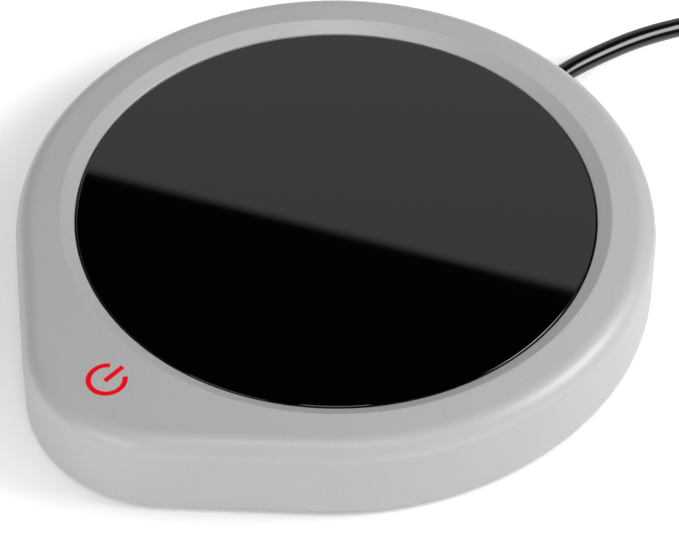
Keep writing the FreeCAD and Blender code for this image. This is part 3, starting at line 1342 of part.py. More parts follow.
doc.recompute()
for item in doc.Objects:
    if "Invalid" in item.State or "Error" in item.State:
        raise RuntimeError(f"{item.Label} ({item.Name}) failed: {item.State}")
for piece in subparts:
    if piece.Shape.isNull() or not piece.Shape.isValid():
        raise RuntimeError(f"{piece.Label}: its shape is empty or not valid")

os.makedirs("parts", exist_ok=True)
for piece in subparts:
    piece.Shape.exportStep(f"parts/{piece.Label}.step")
print(f"{len(subparts)} sub-parts written")
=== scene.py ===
import json
import math

import bmesh
import bpy
from bpy.props import FloatProperty, FloatVectorProperty, IntProperty, PointerProperty
from mathutils import Matrix, Vector

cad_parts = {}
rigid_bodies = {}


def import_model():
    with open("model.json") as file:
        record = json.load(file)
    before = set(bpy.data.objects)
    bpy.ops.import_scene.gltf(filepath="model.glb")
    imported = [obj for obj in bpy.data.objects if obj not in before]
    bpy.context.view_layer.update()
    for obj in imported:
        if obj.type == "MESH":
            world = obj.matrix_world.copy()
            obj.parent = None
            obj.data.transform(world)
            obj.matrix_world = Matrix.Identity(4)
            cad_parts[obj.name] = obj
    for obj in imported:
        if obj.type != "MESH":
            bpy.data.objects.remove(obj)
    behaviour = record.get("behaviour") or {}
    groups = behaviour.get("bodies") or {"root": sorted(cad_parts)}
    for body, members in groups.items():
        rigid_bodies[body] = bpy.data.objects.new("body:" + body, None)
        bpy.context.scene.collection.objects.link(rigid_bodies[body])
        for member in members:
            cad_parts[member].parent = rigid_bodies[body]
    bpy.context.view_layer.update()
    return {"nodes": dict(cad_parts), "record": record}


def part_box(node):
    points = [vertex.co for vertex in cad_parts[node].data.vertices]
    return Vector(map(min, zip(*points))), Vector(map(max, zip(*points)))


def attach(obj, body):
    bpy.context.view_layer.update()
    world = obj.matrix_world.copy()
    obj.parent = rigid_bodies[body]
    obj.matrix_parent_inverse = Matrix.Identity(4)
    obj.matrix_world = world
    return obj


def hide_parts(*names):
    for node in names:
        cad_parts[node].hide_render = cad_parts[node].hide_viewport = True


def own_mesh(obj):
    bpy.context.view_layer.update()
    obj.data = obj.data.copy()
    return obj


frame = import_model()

bl_info = {
    "name": "Mug Warmer",
    "version": (1, 0, 0),
    "blender": (4, 5, 0),
    "location": "View3D > Sidebar > Mug Warmer",
    "description": "Builds a teardrop mug warmer with a black glass plate round its CAD frame",
    "category": "Object",
}

MM = 0.001
SHELL_LOW, SHELL_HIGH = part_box("upper_shell")
GLASS_LOW, GLASS_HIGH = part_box("glass_plate")
SIGN_LOW, SIGN_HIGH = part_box("power_symbol")
TIE_LOW, TIE_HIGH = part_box("cord_tie")
PLUG_LOW, PLUG_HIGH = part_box("plug_body")
RELIEF_LOW, RELIEF_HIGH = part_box("plug_relief")
FEET = ("foot_back_left", "foot_back_right", "foot_front_left", "foot_front_right")
FOOT_LOW, FOOT_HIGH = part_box(FEET[0])
YIELDING = ("spring_left", "spring_right", "spring_front", "heater_lead_left", "heater_lead_right")
slots = {row["node"]: row["material_slot"] for row in frame["record"]["subparts"]}

BODY_RADIUS = (SHELL_HIGH.x - SHELL_LOW.x) / 2
PLATE_Y = SHELL_HIGH.y - BODY_RADIUS
SIGN_Y = (SIGN_LOW.y + SIGN_HIGH.y) / 2

CLOUDS_MM = 18.0  # flow clouds in a moulding
LINES_MM = 0.12   # working lines in a metal: the real ones are finer, and are drawn as coarse as need be

PHOTO_WIDTH, PHOTO_HEIGHT = 679, 559  # pixels
SENSOR_MM = 36
# Where the edge of the studio's bright wall shows in the glass, in pixels of the photograph.
WALL_EDGE_LEFT = (95, 172)
WALL_EDGE_RIGHT = (578, 291)
WALL_SOFT = 0.002   # half of the edge's blur
WALL_BRIGHT = 0.78  # the wall in reflections, where 1 is white
ROOM_LIGHT = 0.2    # the room's even light
# The board that the warmer stands on: where its glow starts and stops growing, in metres from the middle,
# and how strong it is at each, where 1 is white. The weak glow near the warmer is painted shade round it.
BOARD_NEAR, BOARD_FAR = 0.055, 0.13
BOARD_GLOW_IN_PAINTED_SHADE, BOARD_WHITE = 0.12, 1.0
# Name, place, width in metres, watts and whether it shows in reflections.
LAMPS = (
    ("front_light", (0.0, -0.673, 0.29), 0.35, 2.15, True),
    ("side_light", (0.29, 0.20, 0.25), 0.2, 1.3, True),
    ("low_light", (0.543, -0.453, 0.22), 0.5, 0.75, False),
    ("top_light", (0.21, -0.23, 0.9), 0.25, 1.5, True),
)

# The free cord's route in metres: from the casing to the coil, and from the coil to the plug.
LEAD_ROUTE = [
    (0.0029, 0.0681, 0.0069),
    (0.0029, 0.0732, 0.0069),
    (0.0049, 0.0826, 0.0069),
    (0.0080, 0.0930, 0.0069),
    (0.0129, 0.1034, 0.0066),
    (0.0166, 0.1130, 0.0046),
    (0.020475, 0.122804, 0.00275),
    (0.026975, 0.134063, 0.00275),
]
TAIL_ROUTE = [
    (0.089025, 0.134063, 0.00755),
    (0.094525, 0.124536, 0.00755),
    (0.0992, 0.1144, 0.0052),
    (0.1010, 0.1030, 0.0055),
    (0.1010, 0.0915, 0.0055),
]
COIL_MIDDLE = Vector((0.058, 0.121, 0.0))
COIL_START, COIL_END = 150.0, 30.0  # degrees from +X, where the cord joins the coil and leaves it
COIL_LOW = 0.00275                  # height of the lower layer's middle line


def paint(code):
    """An sRGB hex colour as a linear one."""
    parts = [int(code[i:i + 2], 16) / 255 for i in (1, 3, 5)]
    return (*(c / 12.92 if c <= 0.04045 else ((c + 0.055) / 1.055) ** 2.4 for c in parts), 1.0)


def colour(name, text, code):
    """A colour that a user can change."""
    return FloatVectorProperty(name=name, description=text, subtype="COLOR", size=4, min=0, max=1,
                               default=paint(code))


def size(name, text, value):
    """A length that a user can change."""
    return FloatProperty(name=name, description=text, unit="LENGTH", precision=5, min=0, default=value)


def angle(name, text, degrees):
    """An angle that a user can change."""
    return FloatProperty(name=name, description=text, subtype="ANGLE", default=math.radians(degrees))


class WarmerSizes(bpy.types.PropertyGroup):
    """Sizes of the pieces that this file makes."""
    tip_radius: size("Tip radius", "Casing's outer radius at the tip", 0.0284)
    draft: angle("Draft", "Lean of the casing's side", 2.5)
    edge_round: size("Edge round", "Round between the casing's side and its top", 0.004)
    wall: size("Wall", "Thickness of the casing", 0.002)
    foot_bevel: size("Bottom edge", "Round on the casing's bottom edge", 0.0004)
    dish_radius: size("Band radius", "Outer edge of the sloped band round the plate", 0.0529)
    dish_round: size("Band edge", "Round on the sloped band's outer edge", 0.0005)
    opening: size("Opening", "Radius of the opening for the plate", 0.0503)
    lip_round: size("Lip round", "Round on the opening's edge", 0.00025)
    lip_thick: size("Lip", "Thickness of the band's inner lip", 0.0016)
    skirt_radius: size("Guide ring", "Inner radius of the ring that guides the tray", 0.05275)
    skirt_wall: size("Guide ring's wall", "Thickness of the guide ring", 0.0015)
    skirt_bottom: size("Guide ring's edge", "Height of the guide ring's lower edge", 0.0105)
    plate_bevel: size("Glass bevel", "Ground edge of the glass", 0.00035)
    sign_radius: size("Sign radius", "Power sign's ring, outside", 0.00375)
    sign_stroke: size("Sign line", "Width of the power sign's line", 0.00095)
    sign_gap: angle("Sign opening", "Half of the opening in the power sign's ring", 35.5)
    sign_bar_out: size("Sign bar, out", "Bar's outer end from the sign's centre", 0.0040)
    sign_bar_in: size("Sign bar, in", "Bar's inner end past the sign's centre", 0.00045)
    sign_proud: size("Sign height", "How far the sign stands above the casing", 0.00002)
    cord_diameter: size("Cord", "Diameter of the mains cord", 0.0042)
    coil_radius: size("Coil", "Radius of the coil's outer turn", 0.0334)
    coil_step: size("Coil step", "One turn or layer of the coil to the next", 0.0048)
    coil_loops: IntProperty(name="Coil loops", description="Whole turns of the coil", default=6, min=1)
    cord_length: size("Cord length", "Free cord from the casing to the plug", 1.15)
    support: size("Support", "A flat face's support loop from its edge", 0.0003)
    press: size("Press", "How far the plate sinks under a mug", 0.0008)
    tie_strap: size("Tie", "Thickness of the tie's strap", 0.0005)
    tie_round: size("Tie corner", "Outer round of the tie's corners", 0.0012)
    foot_rim: size("Foot rim", "Width of the raised rim of a rubber foot", 0.0012)
    foot_hollow: size("Foot hollow", "Depth of a foot's face inside its rim", 0.0004)
    relief_end: size("Relief at the cord", "Radius of the strain relief where the cord enters", 0.0031)
    relief_rib: size("Relief rib", "Width of a rib of the strain relief", 0.0022)
    relief_ribs: IntProperty(name="Relief ribs", description="Ribs of the strain relief", default=6, min=2)
    grip_ribs: IntProperty(name="Grip ribs", description="Ribs on each face of the plug", default=4, min=1)
    grip_rib: size("Grip rib", "Width of a rib on the plug's faces", 0.0009)
    outline_steps: IntProperty(name="Outline", description="Points round the casing", default=420, min=60)


class WarmerColours(bpy.types.PropertyGroup):
    """Colours of the finishes."""
    casing: colour("Casing", "Silver-grey plastic", "#B4B4B4")
    glass: colour("Glass", "Enamel behind the glass", "#020202")
    sign: colour("Sign", "Power sign", "#E60019")
    cord: colour("Cord", "Cord's sheath", "#0B0B0C")
    plug: colour("Plug", "Plug's body", "#101011")
    cover: colour("Bottom cover", "Bottom cover", "#2B2B2D")
    rubber: colour("Feet", "Rubber feet", "#131313")
    floor: colour("Floor", "Floor that the warmer stands on", "#F7F7F7")


class WarmerCamera(bpy.types.PropertyGroup):
    """The photograph's viewpoint."""
    place: FloatVectorProperty(name="Place", description="Where the camera stands", subtype="XYZ",
                               unit="LENGTH", precision=5, default=(0.194433, -0.209990, 0.310966))
    azimuth: angle("Azimuth", "Angle of the view about the vertical", 41.969)
    elevation: angle("Elevation", "Angle of the view above the floor", 47.452)
    roll: angle("Roll", "Turn of the picture about the line of sight", 0.22)
    lens: FloatProperty(name="Lens", description="Focal length for a 36 mm wide sensor", default=113.69)


def new_piece(name, mesh):
    """A new object for a mesh that is already in place."""
    piece = bpy.data.objects.new(name, mesh)
    bpy.context.scene.collection.objects.link(piece)
    return piece


def dress(piece, material):
    """Gives the piece one material."""
    piece.data.materials.clear()
    piece.data.materials.append(material)
    return piece


def ring_mesh(name, rings, sharp=32.0, closed_tube=False, caps=(False, False)):
    """A mesh from rings of equally many points, each joined to the next, smooth between sharp edges."""
    made = bmesh.new()
    rows = [[made.verts.new(p) for p in ring] for ring in rings]
    pairs = list(zip(rows, rows[1:])) + ([(rows[-1], rows[0])] if closed_tube else [])
    for low, high in pairs:
        for i in range(len(low)):
            j = (i + 1) % len(low)
            made.faces.new((low[i], low[j], high[j], high[i]))
    for face in made.faces:
        face.smooth = True
    if caps[0]:
        made.faces.new(list(reversed(rows[0])))
    if caps[1]:
        made.faces.new(rows[-1])
    mesh = bpy.data.meshes.new(name)
    made.to_mesh(mesh)
    made.free()
    mesh.set_sharp_from_angle(angle=math.radians(sharp))
    for k in range(sum(caps)):
        mesh.polygons[len(mesh.polygons) - 1 - k].use_smooth = False
    return mesh


def outward(piece):
    """Turns every face of a piece's closed meshes outwards."""
    made = bmesh.new()
    made.from_mesh(piece.data)
    bmesh.ops.recalc_face_normals(made, faces=made.faces)
    made.to_mesh(piece.data)
    made.free()


def circle_points(radius, height, angles):
    """Points at a height on a circle round the plate's middle."""
    return [Vector((radius * math.cos(a), PLATE_Y + radius * math.sin(a), height)) for a in angles]


def rounded_box(wide, high, radius, side_steps=6, bend_steps=10):
    """Points round a rectangle with round corners, from its right side's foot, and the way out at each."""
    found = []
    for k in range(4):
        reach, half = (wide, high - radius) if k % 2 == 0 else (high, wide - radius)
        turn = k * math.pi / 2
        out, onward = Vector((math.cos(turn), math.sin(turn))), Vector((-math.sin(turn), math.cos(turn)))
        for i in range(side_steps):
            found.append((out * reach + onward * half * (2 * i / side_steps - 1), out))
        centre = out * (reach - radius) + onward * half
        for i in range(bend_steps):
            a = turn + math.pi / 2 * i / bend_steps
            way = Vector((math.cos(a), math.sin(a)))
            found.append((centre + way * radius, way))
    return found


# Geometry Nodes

def new_tree(name, inputs):
    """A Geometry Nodes tree with a geometry in and out, and what its named inputs give."""
    tree = bpy.data.node_groups.new(name, "GeometryNodeTree")
    for way in ("INPUT", "OUTPUT"):
        tree.interface.new_socket(name="Geometry", in_out=way, socket_type="NodeSocketGeometry")
    for label, kind in inputs.items():
        tree.interface.new_socket(name=label, in_out="INPUT", socket_type=f"NodeSocket{kind}")
    return tree, tree.nodes.new("NodeGroupInput").outputs


def finish_tree(tree, shape, material):
    """Ends a tree: makes a node's instances real, gives them the material and puts them out."""
    real = add_node(tree, "GeometryNodeRealizeInstances", links={0: shape.outputs[0]})
    dressed = add_node(tree, "GeometryNodeSetMaterial", {"Material": material}, {"Geometry": real.outputs[0]})
    add_node(tree, "NodeGroupOutput", links={0: dressed.outputs[0]})


def rounded_ring(tree, steps, radius, wide, high, bend):
    """Nodes for a ring whose section is a rectangle with round corners, from outputs that give its sizes."""
    path = add_node(tree, "GeometryNodeCurvePrimitiveCircle", {"Resolution": steps}, {"Radius": radius})
    section = add_node(tree, "GeometryNodeCurvePrimitiveQuadrilateral", links={"Width": wide, "Height": high})
    soft = add_node(tree, "GeometryNodeFilletCurve", {"mode": "POLY", "Count": 4},
                    {"Curve": section.outputs[0], "Radius": bend})
    return add_node(tree, "GeometryNodeCurveToMesh", {}, {0: path.outputs["Curve"], 1: soft.outputs[0]})


def grow(name, places, tree, values, material):
    """Runs a tree on a mesh of points and keeps what it makes as a plain piece."""
    base = bpy.data.meshes.new(f"{name}_places")
    base.from_pydata([tuple(p) for p in places], [], [])
    piece = new_piece(name, base)
    nodes = piece.modifiers.new("nodes", "NODES")
    nodes.node_group = tree
    for item in tree.interface.items_tree:
        if item.item_type == "SOCKET" and item.in_out == "INPUT" and item.name in values:
            nodes[item.identifier] = values[item.name]
    made = bpy.context.evaluated_depsgraph_get()
    mesh = bpy.data.meshes.new_from_object(piece.evaluated_get(made), depsgraph=made)
    piece.modifiers.remove(nodes)
    piece.data = mesh
    mesh.name = name
    mesh.shade_smooth()
    mesh.set_sharp_from_angle(angle=math.radians(35))
    return dress(piece, material)


# Materials

def connect(tree, node, links):
    """Links a node's sockets to outputs of other nodes."""
    for key, output in links.items():
        tree.links.new(output, node.inputs[key])


def add_node(tree, kind, settings=None, links=None):
    """Adds a node, sets its properties and sockets by name, and links sockets to outputs of other nodes."""
    node = tree.nodes.new(kind)
    for key, value in (settings or {}).items():
        if isinstance(key, str) and hasattr(node, key):
            setattr(node, key, value)
        else:
            node.inputs[key].default_value = value
    connect(tree, node, links or {})
    return node


def toned(tint, factor):
    """A colour made darker or lighter."""
    return [min(1.0, c * factor) for c in tint[:3]] + [1.0]


def new_material(name, settings=None):
    """A material with a Principled shader: itself, its tree, its shader and its piece's own coordinates."""
    material = bpy.data.materials.new(name)
    material.use_nodes = True
    tree = material.node_tree
    tree.nodes.clear()
    shader = add_node(tree, "ShaderNodeBsdfPrincipled", settings)
    add_node(tree, "ShaderNodeOutputMaterial", links={"Surface": shader.outputs[0]})
    return material, tree, shader, add_node(tree, "ShaderNodeTexCoord").outputs["Object"]


def moulded(name, tint, roughness, rough_spread, grain_mm, bump, shade_spread, ior=1.5):
    """Moulded plastic: fine spark-eroded grain, and faint clouds where the melt flowed."""
    material, tree, shader, place = new_material(name, {"IOR": ior})
    # The real grain is about 0.05 mm, and is drawn as coarse as it needs to show.
    grain = add_node(tree, "ShaderNodeTexNoise",
                     {"Scale": 1 / (grain_mm * MM), "Detail": 2.0, "Roughness": 0.55}, {"Vector": place})
    clouds = add_node(tree, "ShaderNodeTexNoise", {"Scale": 1 / (CLOUDS_MM * MM), "Detail": 3.0},
                      {"Vector": place})
    mixed = add_node(tree, "ShaderNodeMath", {"operation": "MULTIPLY_ADD", 1: 0.35},
                     {0: clouds.outputs["Fac"], 2: grain.outputs["Fac"]})
    ramp = add_node(tree, "ShaderNodeMapRange", {"From Min": 0.42, "From Max": 0.93},
                    {"Value": mixed.outputs[0]})
    shades = {6: toned(tint, 1 - shade_spread), 7: toned(tint, 1 + shade_spread)}
    tinted = add_node(tree, "ShaderNodeMix", {"data_type": "RGBA", **shades}, {0: ramp.outputs[0]})
    rough = add_node(tree, "ShaderNodeMapRange",
                     {"To Min": roughness - rough_spread, "To Max": roughness + rough_spread},
                     {"Value": grain.outputs["Fac"]})
    dents = add_node(tree, "ShaderNodeBump", {"Strength": bump, "Distance": 0.05 * MM},
                     {"Height": grain.outputs["Fac"]})
    connect(tree, shader, {"Base Color": tinted.outputs[2], "Roughness": rough.outputs[0],
                           "Normal": dents.outputs[0]})
    return material


def satin_abs(tint):
    """Injection-moulded ABS with pearl pigment: satin silver-grey, its grain just fine enough to sparkle."""
    return moulded("moulded_ABS_silver", tint, 0.36, 0.05, 0.28, 0.35, 0.045)


def enamelled_glass(tint):
    """Tempered soda-lime glass, enamelled black behind: a mirror-flat, very dark surface."""
    material, tree, shader, place = new_material("enamelled_glass_black", {"IOR": 1.52})
    haze = add_node(tree, "ShaderNodeTexNoise", {"Scale": 1 / (22 * MM), "Detail": 4.0}, {"Vector": place})
    rough = add_node(tree, "ShaderNodeMapRange", {"To Min": 0.012, "To Max": 0.03},
                     {"Value": haze.outputs["Fac"]})
    depth = add_node(tree, "ShaderNodeMix", {"data_type": "RGBA", 6: tint, 7: toned(tint, 1.3)},
                     {0: haze.outputs["Fac"]})
    connect(tree, shader, {"Base Color": depth.outputs[2], "Roughness": rough.outputs[0]})
    return material


def lit_acrylic(tint):
    """Red acrylic light guide, lit from behind: even and a little brighter than paint."""
    material, tree, shader, place = new_material(
        "red_acrylic_lit", {"Emission Strength": 0.1, "Roughness": 0.4, "Specular IOR Level": 0.2})
    spread = add_node(tree, "ShaderNodeTexNoise", {"Scale": 1 / (1.5 * MM), "Detail": 1.0}, {"Vector": place})
    glow = add_node(tree, "ShaderNodeMix", {"data_type": "RGBA", 6: toned(tint, 0.94), 7: tint},
                    {0: spread.outputs["Fac"]})
    connect(tree, shader, {"Base Color": glow.outputs[2], "Emission Color": glow.outputs[2]})
    return material


def sheath_pvc(name, tint, roughness):
    """Extruded PVC: smooth and glossy, with faint drawn lines and a bloom of plasticiser."""
    material, tree, shader, place = new_material(name, {"IOR": 1.53})
    bloom = add_node(tree, "ShaderNodeTexNoise", {"Scale": 1 / (6 * MM), "Detail": 3.0}, {"Vector": place})
    rough = add_node(tree, "ShaderNodeMapRange", {"To Min": roughness * 0.8, "To Max": roughness * 1.25},
                     {"Value": bloom.outputs["Fac"]})
    shade = add_node(tree, "ShaderNodeMix", {"data_type": "RGBA", 6: tint, 7: toned(tint, 1.25)},
                     {0: bloom.outputs["Fac"]})
    # The lines that the die leaves are finer, and are drawn as coarse as they need to show.
    fine = add_node(tree, "ShaderNodeTexNoise", {"Scale": 1 / (0.6 * MM), "Detail": 1.0}, {"Vector": place})
    dents = add_node(tree, "ShaderNodeBump", {"Strength": 0.06, "Distance": 0.03 * MM},
                     {"Height": fine.outputs["Fac"]})
    connect(tree, shader, {"Base Color": shade.outputs[2], "Roughness": rough.outputs[0],
                           "Normal": dents.outputs[0]})
    return material


def sheet_metal(name, code, roughness):
    """Rolled, drawn or plated metal: fine lines along the way it was worked."""
    material, tree, shader, place = new_material(name, {"Metallic": 1.0})
    along = add_node(tree, "ShaderNodeMapping", {"Scale": (1.0, 0.06, 1.0)}, {"Vector": place})
    lines = add_node(tree, "ShaderNodeTexNoise", {"Scale": 1 / (LINES_MM * MM), "Detail": 2.0},
                     {"Vector": along.outputs[0]})
    rough = add_node(tree, "ShaderNodeMapRange", {"To Min": roughness * 0.8, "To Max": roughness * 1.2},
                     {"Value": lines.outputs["Fac"]})
    tint = paint(code)
    shade = add_node(tree, "ShaderNodeMix", {"data_type": "RGBA", 6: toned(tint, 0.9), 7: tint},
                     {0: lines.outputs["Fac"]})
    connect(tree, shader, {"Base Color": shade.outputs[2], "Roughness": rough.outputs[0]})
    return material


# The casing

def outline(sizes):
    """The casing's outline at its bottom edge: points, and the way that faces out at each."""
    big, tip = BODY_RADIUS, sizes.tip_radius
    tip_y = SHELL_LOW.y + tip
    lean = math.asin((big - tip) / (PLATE_Y - tip_y))
    straight = (PLATE_Y - tip_y) * math.cos(lean)
    big_arc, tip_arc = (math.pi + 2 * lean) * big, (math.pi - 2 * lean) * tip
    whole = big_arc + tip_arc + 2 * straight
    points = []
    for i in range(sizes.outline_steps):
        run = whole * i / sizes.outline_steps
        if run < big_arc:
            a = -lean + run / big
            points.append((Vector((0, PLATE_Y)), big, a, 0.0))
        elif run < big_arc + straight:
            points.append((Vector((0, PLATE_Y)), big, math.pi + lean, run - big_arc))
        elif run < big_arc + straight + tip_arc:
            a = math.pi + lean + (run - big_arc - straight) / tip
            points.append((Vector((0, tip_y)), tip, a, 0.0))
        else:
            points.append((Vector((0, tip_y)), tip, -lean, run - big_arc - straight - tip_arc))
    found = []
    for middle, radius, a, along in points:
        out = Vector((math.cos(a), math.sin(a)))
        onward = Vector((-out.y, out.x))
        found.append((middle + out * radius + onward * along, out))
    return found


def side_profile(sizes):
    """The casing's side as pairs of inset and height, from the bottom edge over the round to the top face."""
    high = SHELL_HIGH.z - SHELL_LOW.z
    lean, radius, bevel = sizes.draft, sizes.edge_round, sizes.foot_bevel
    profile = [(sizes.wall, 0.0), (bevel, 0.0)]
    for k in range(1, 4):
        a = math.radians(30 * k)
        profile.append((bevel - bevel * math.sin(a), bevel - bevel * math.cos(a)))
    foot = high - radius + radius * math.sin(lean)
    profile.append((foot * math.tan(lean), foot))
    middle = foot * math.tan(lean) + radius * math.cos(lean)
    steps = 14
    for k in range(1, steps + 1):
        a = lean + (math.pi / 2 - lean) * k / steps
        profile.append((middle - radius * math.cos(a), high - radius + radius * math.sin(a)))
    flat = (profile[-1][0] + sizes.support, high)
    profile = supported(profile, sizes.support) + [flat]
    return [(inset, SHELL_LOW.z + height) for inset, height in profile]


def rounded_corner(before, corner, after, radius):
    """Points on a round of a corner in a profile, which runs between a point before it and one after."""
    steps = 4
    a, b = (Vector(before) - Vector(corner)).normalized(), (Vector(after) - Vector(corner)).normalized()
    half = a.angle(b) / 2
    reach = radius / math.tan(half)
    start, end = Vector(corner) + a * reach, Vector(corner) + b * reach
    middle = Vector(corner) + (a + b).normalized() * (radius / math.sin(half))
    points = []
    for k in range(steps + 1):
        way = (start - middle).lerp(end - middle, k / steps).normalized()
        points.append(tuple(middle + way * radius))
    return points


def supported(profile, reach):
    """The profile with a point close to each end of its long runs, so that flat faces shade flat."""
    points = [Vector(profile[0])]
    for start, end in zip(profile, profile[1:]):
        a, b = Vector(start), Vector(end)
        if (b - a).length > 6 * reach:
            step = (b - a).normalized() * reach
            points += [a + step, b - step]
        points.append(b)
    return [tuple(p) for p in points]


class WARMER_OT_casing(bpy.types.Operator):
    """Makes the casing's side, top, sloped band and guide ring as one closed shell"""
    bl_idname = "warmer.casing"
    bl_label = "Casing"

    def execute(self, context):
        sizes, colours = context.scene.warmer_sizes, context.scene.warmer_colours
        points = outline(sizes)
        top, glass_top = SHELL_HIGH.z, GLASS_HIGH.z

        def loop(inset, height):
            return [Vector((*(p - out * inset), height)) for p, out in points]

        profile = side_profile(sizes)
        rings = [loop(inset, height) for inset, height in profile]
        turns = [math.atan2(p.y - PLATE_Y, p.x) for p in rings[-1]]
        dish, hole = (sizes.dish_radius, top), (sizes.opening, glass_top)
        flat = (sizes.dish_radius + 0.004, top)
        under = (sizes.opening, glass_top - sizes.lip_thick)
        ceiling = top - sizes.wall
        band = rounded_corner(flat, dish, hole, sizes.dish_round)
        band += rounded_corner(dish, hole, under, sizes.lip_round)
        inner = [(band[0][0] + sizes.support, top)] + supported(band, sizes.support) + [
            under,
            (sizes.skirt_radius, under[1]),
            (sizes.skirt_radius, sizes.skirt_bottom),
            (sizes.skirt_radius + sizes.skirt_wall, sizes.skirt_bottom),
            (sizes.skirt_radius + sizes.skirt_wall, ceiling),
        ]
        rings += [circle_points(radius, height, turns) for radius, height in inner]
        inset_top = (SHELL_HIGH.z - SHELL_LOW.z) * math.tan(sizes.draft)
        inner_bevel = 0.0016
        rings.append(loop(sizes.wall + inset_top + inner_bevel, ceiling))
        rings.append(loop(sizes.wall + inset_top, ceiling - inner_bevel))
        piece = new_piece("casing", ring_mesh("casing", rings, closed_tube=True))
        dress(piece, satin_abs(colours.casing))
        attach(piece, "root")
        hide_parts("upper_shell")
        return {"FINISHED"}


class WARMER_OT_plate(bpy.types.Operator):
    """Makes the black glass plate with its ground edge"""
    bl_idname = "warmer.plate"
    bl_label = "Glass plate"

    def execute(self, context):
        sizes, colours = context.scene.warmer_sizes, context.scene.warmer_colours
        radius = (GLASS_HIGH.x - GLASS_LOW.x) / 2
        low, high, bevel = GLASS_LOW.z, GLASS_HIGH.z, sizes.plate_bevel
        steps, inside = 256, radius - 0.01
        angles = [2 * math.pi * k / steps for k in range(steps)]
        corner_low = rounded_corner((inside, low), (radius, low), (radius, high), bevel)
        corner_high = rounded_corner((radius, low), (radius, high), (inside, high), bevel)
        rings = [circle_points(r, z, angles) for r, z in corner_low + corner_high]
        piece = new_piece("glass_disc", ring_mesh("glass_disc", rings, caps=(True, True)))
        dress(piece, enamelled_glass(colours.glass))
        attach(piece, "plate")
        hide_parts("glass_plate")
        return {"FINISHED"}


class WARMER_OT_sign(bpy.types.Operator):
    """Makes the power sign in the tip: an open ring and a bar"""
    bl_idname = "warmer.sign"
    bl_label = "Power sign"

    def execute(self, context):
        sizes, colours = context.scene.warmer_sizes, context.scene.warmer_colours
        top = SHELL_HIGH.z + sizes.sign_proud
        low = SHELL_HIGH.z - sizes.wall
        outer, inner = sizes.sign_radius, sizes.sign_radius - sizes.sign_stroke
        steps = 72
        start = math.pi / 2 + sizes.sign_gap
        sweep = 2 * math.pi - 2 * sizes.sign_gap
        made = bmesh.new()

        def solid(corners_low, corners_high):
            lows, highs = [made.verts.new(p) for p in corners_low], [made.verts.new(p) for p in corners_high]
            made.faces.new(highs)
            made.faces.new(list(reversed(lows)))
            for i in range(len(lows)):
                j = (i + 1) % len(lows)
                made.faces.new((lows[i], lows[j], highs[j], highs[i]))

        arc = [start + sweep * k / steps for k in range(steps + 1)]
        round_line = [(outer * math.cos(a), SIGN_Y + outer * math.sin(a)) for a in arc]
        round_line += [(inner * math.cos(a), SIGN_Y + inner * math.sin(a)) for a in reversed(arc)]
        half = sizes.sign_stroke / 2
        bar = [(-half, SIGN_Y - sizes.sign_bar_in), (half, SIGN_Y - sizes.sign_bar_in),
               (half, SIGN_Y + sizes.sign_bar_out), (-half, SIGN_Y + sizes.sign_bar_out)]
        for shape in (round_line, bar):
            solid([(x, y, low) for x, y in shape], [(x, y, top) for x, y in shape])
        mesh = bpy.data.meshes.new("power_sign")
        made.to_mesh(mesh)
        made.free()
        piece = new_piece("power_sign", mesh)
        dress(piece, lit_acrylic(colours.sign))
        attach(piece, "root")
        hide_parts("power_symbol")
        return {"FINISHED"}


# The cord

def coil_points(sizes):
    """Points of the coil: in through the lower layer, up in the half turn at its middle, and out again."""
    sweep = math.radians(sizes.coil_loops * 360 + COIL_START - COIL_END)
    half, step = sweep / 2, sizes.coil_step
    per_radian = step / (2 * math.pi)
    inner = sizes.coil_radius - per_radian * half
    count = 26 * sizes.coil_loops + 10  # 26 points a turn, and the last part turn
    points = []
    for k in range(1, count):
        along = sweep * k / count
        left = along - half
        radius, height = inner + per_radian * abs(left), step if left > 0 else 0.0
        if abs(left) < math.pi / 2:
            radius = inner + per_radian * (left**2 / math.pi + math.pi / 4)
            share = left / math.pi + 0.5
            height = step * share**2 * (3 - 2 * share)
        a = math.radians(COIL_START) - along
        points.append(COIL_MIDDLE + Vector((radius * math.cos(a), radius * math.sin(a), COIL_LOW + height)))
    return points


class WARMER_OT_tie(bpy.types.Operator):
    """Makes the strap that ties the coil, its end lapped over itself"""
    bl_idname = "warmer.tie"
    bl_label = "Cord tie"

    def execute(self, context):
        sizes, colours = context.scene.warmer_sizes, context.scene.warmer_colours
        thick = sizes.tie_strap
        middle = (TIE_LOW + TIE_HIGH) / 2
        span = (TIE_HIGH - TIE_LOW) / 2
        side, bend, lap = 16, 6, 12  # steps along a side, round a corner and along the lapped end
        rise = 1.05                  # how far the lapped end climbs, in thicknesses of the strap
        loop = rounded_box(span.y - thick / 2, span.z - thick / 2, sizes.tie_round - thick / 2, side, bend)
        loop = loop[side + bend:] + loop[:side + bend]
        section = rounded_box(span.x, thick / 2, thick / 2.2, 3, 3)
        rings = []
        for i in range(len(loop) + lap):
            point, out = loop[i % len(loop)]
            share = min(1.0, max(0.0, (i - len(loop) + bend) / bend))
            spot = point + out * thick * rise * share**2 * (3 - 2 * share)
            rings.append([
                Vector((middle.x + p.x, middle.y + spot.x + out.x * p.y, middle.z + spot.y + out.y * p.y))
                for p, _ in section
            ])
        piece = new_piece("cord_strap", ring_mesh("cord_strap", rings, caps=(True, True)))
        outward(piece)
        # Woven nylon: dull, with the lumps of its weave in place of a moulding's grain.
        dress(piece, moulded("woven_nylon_black", colours.plug, 0.62, 0.06, 0.35, 0.6, 0.18))
        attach(piece, "root")
        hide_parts("cord_tie")
        return {"FINISHED"}


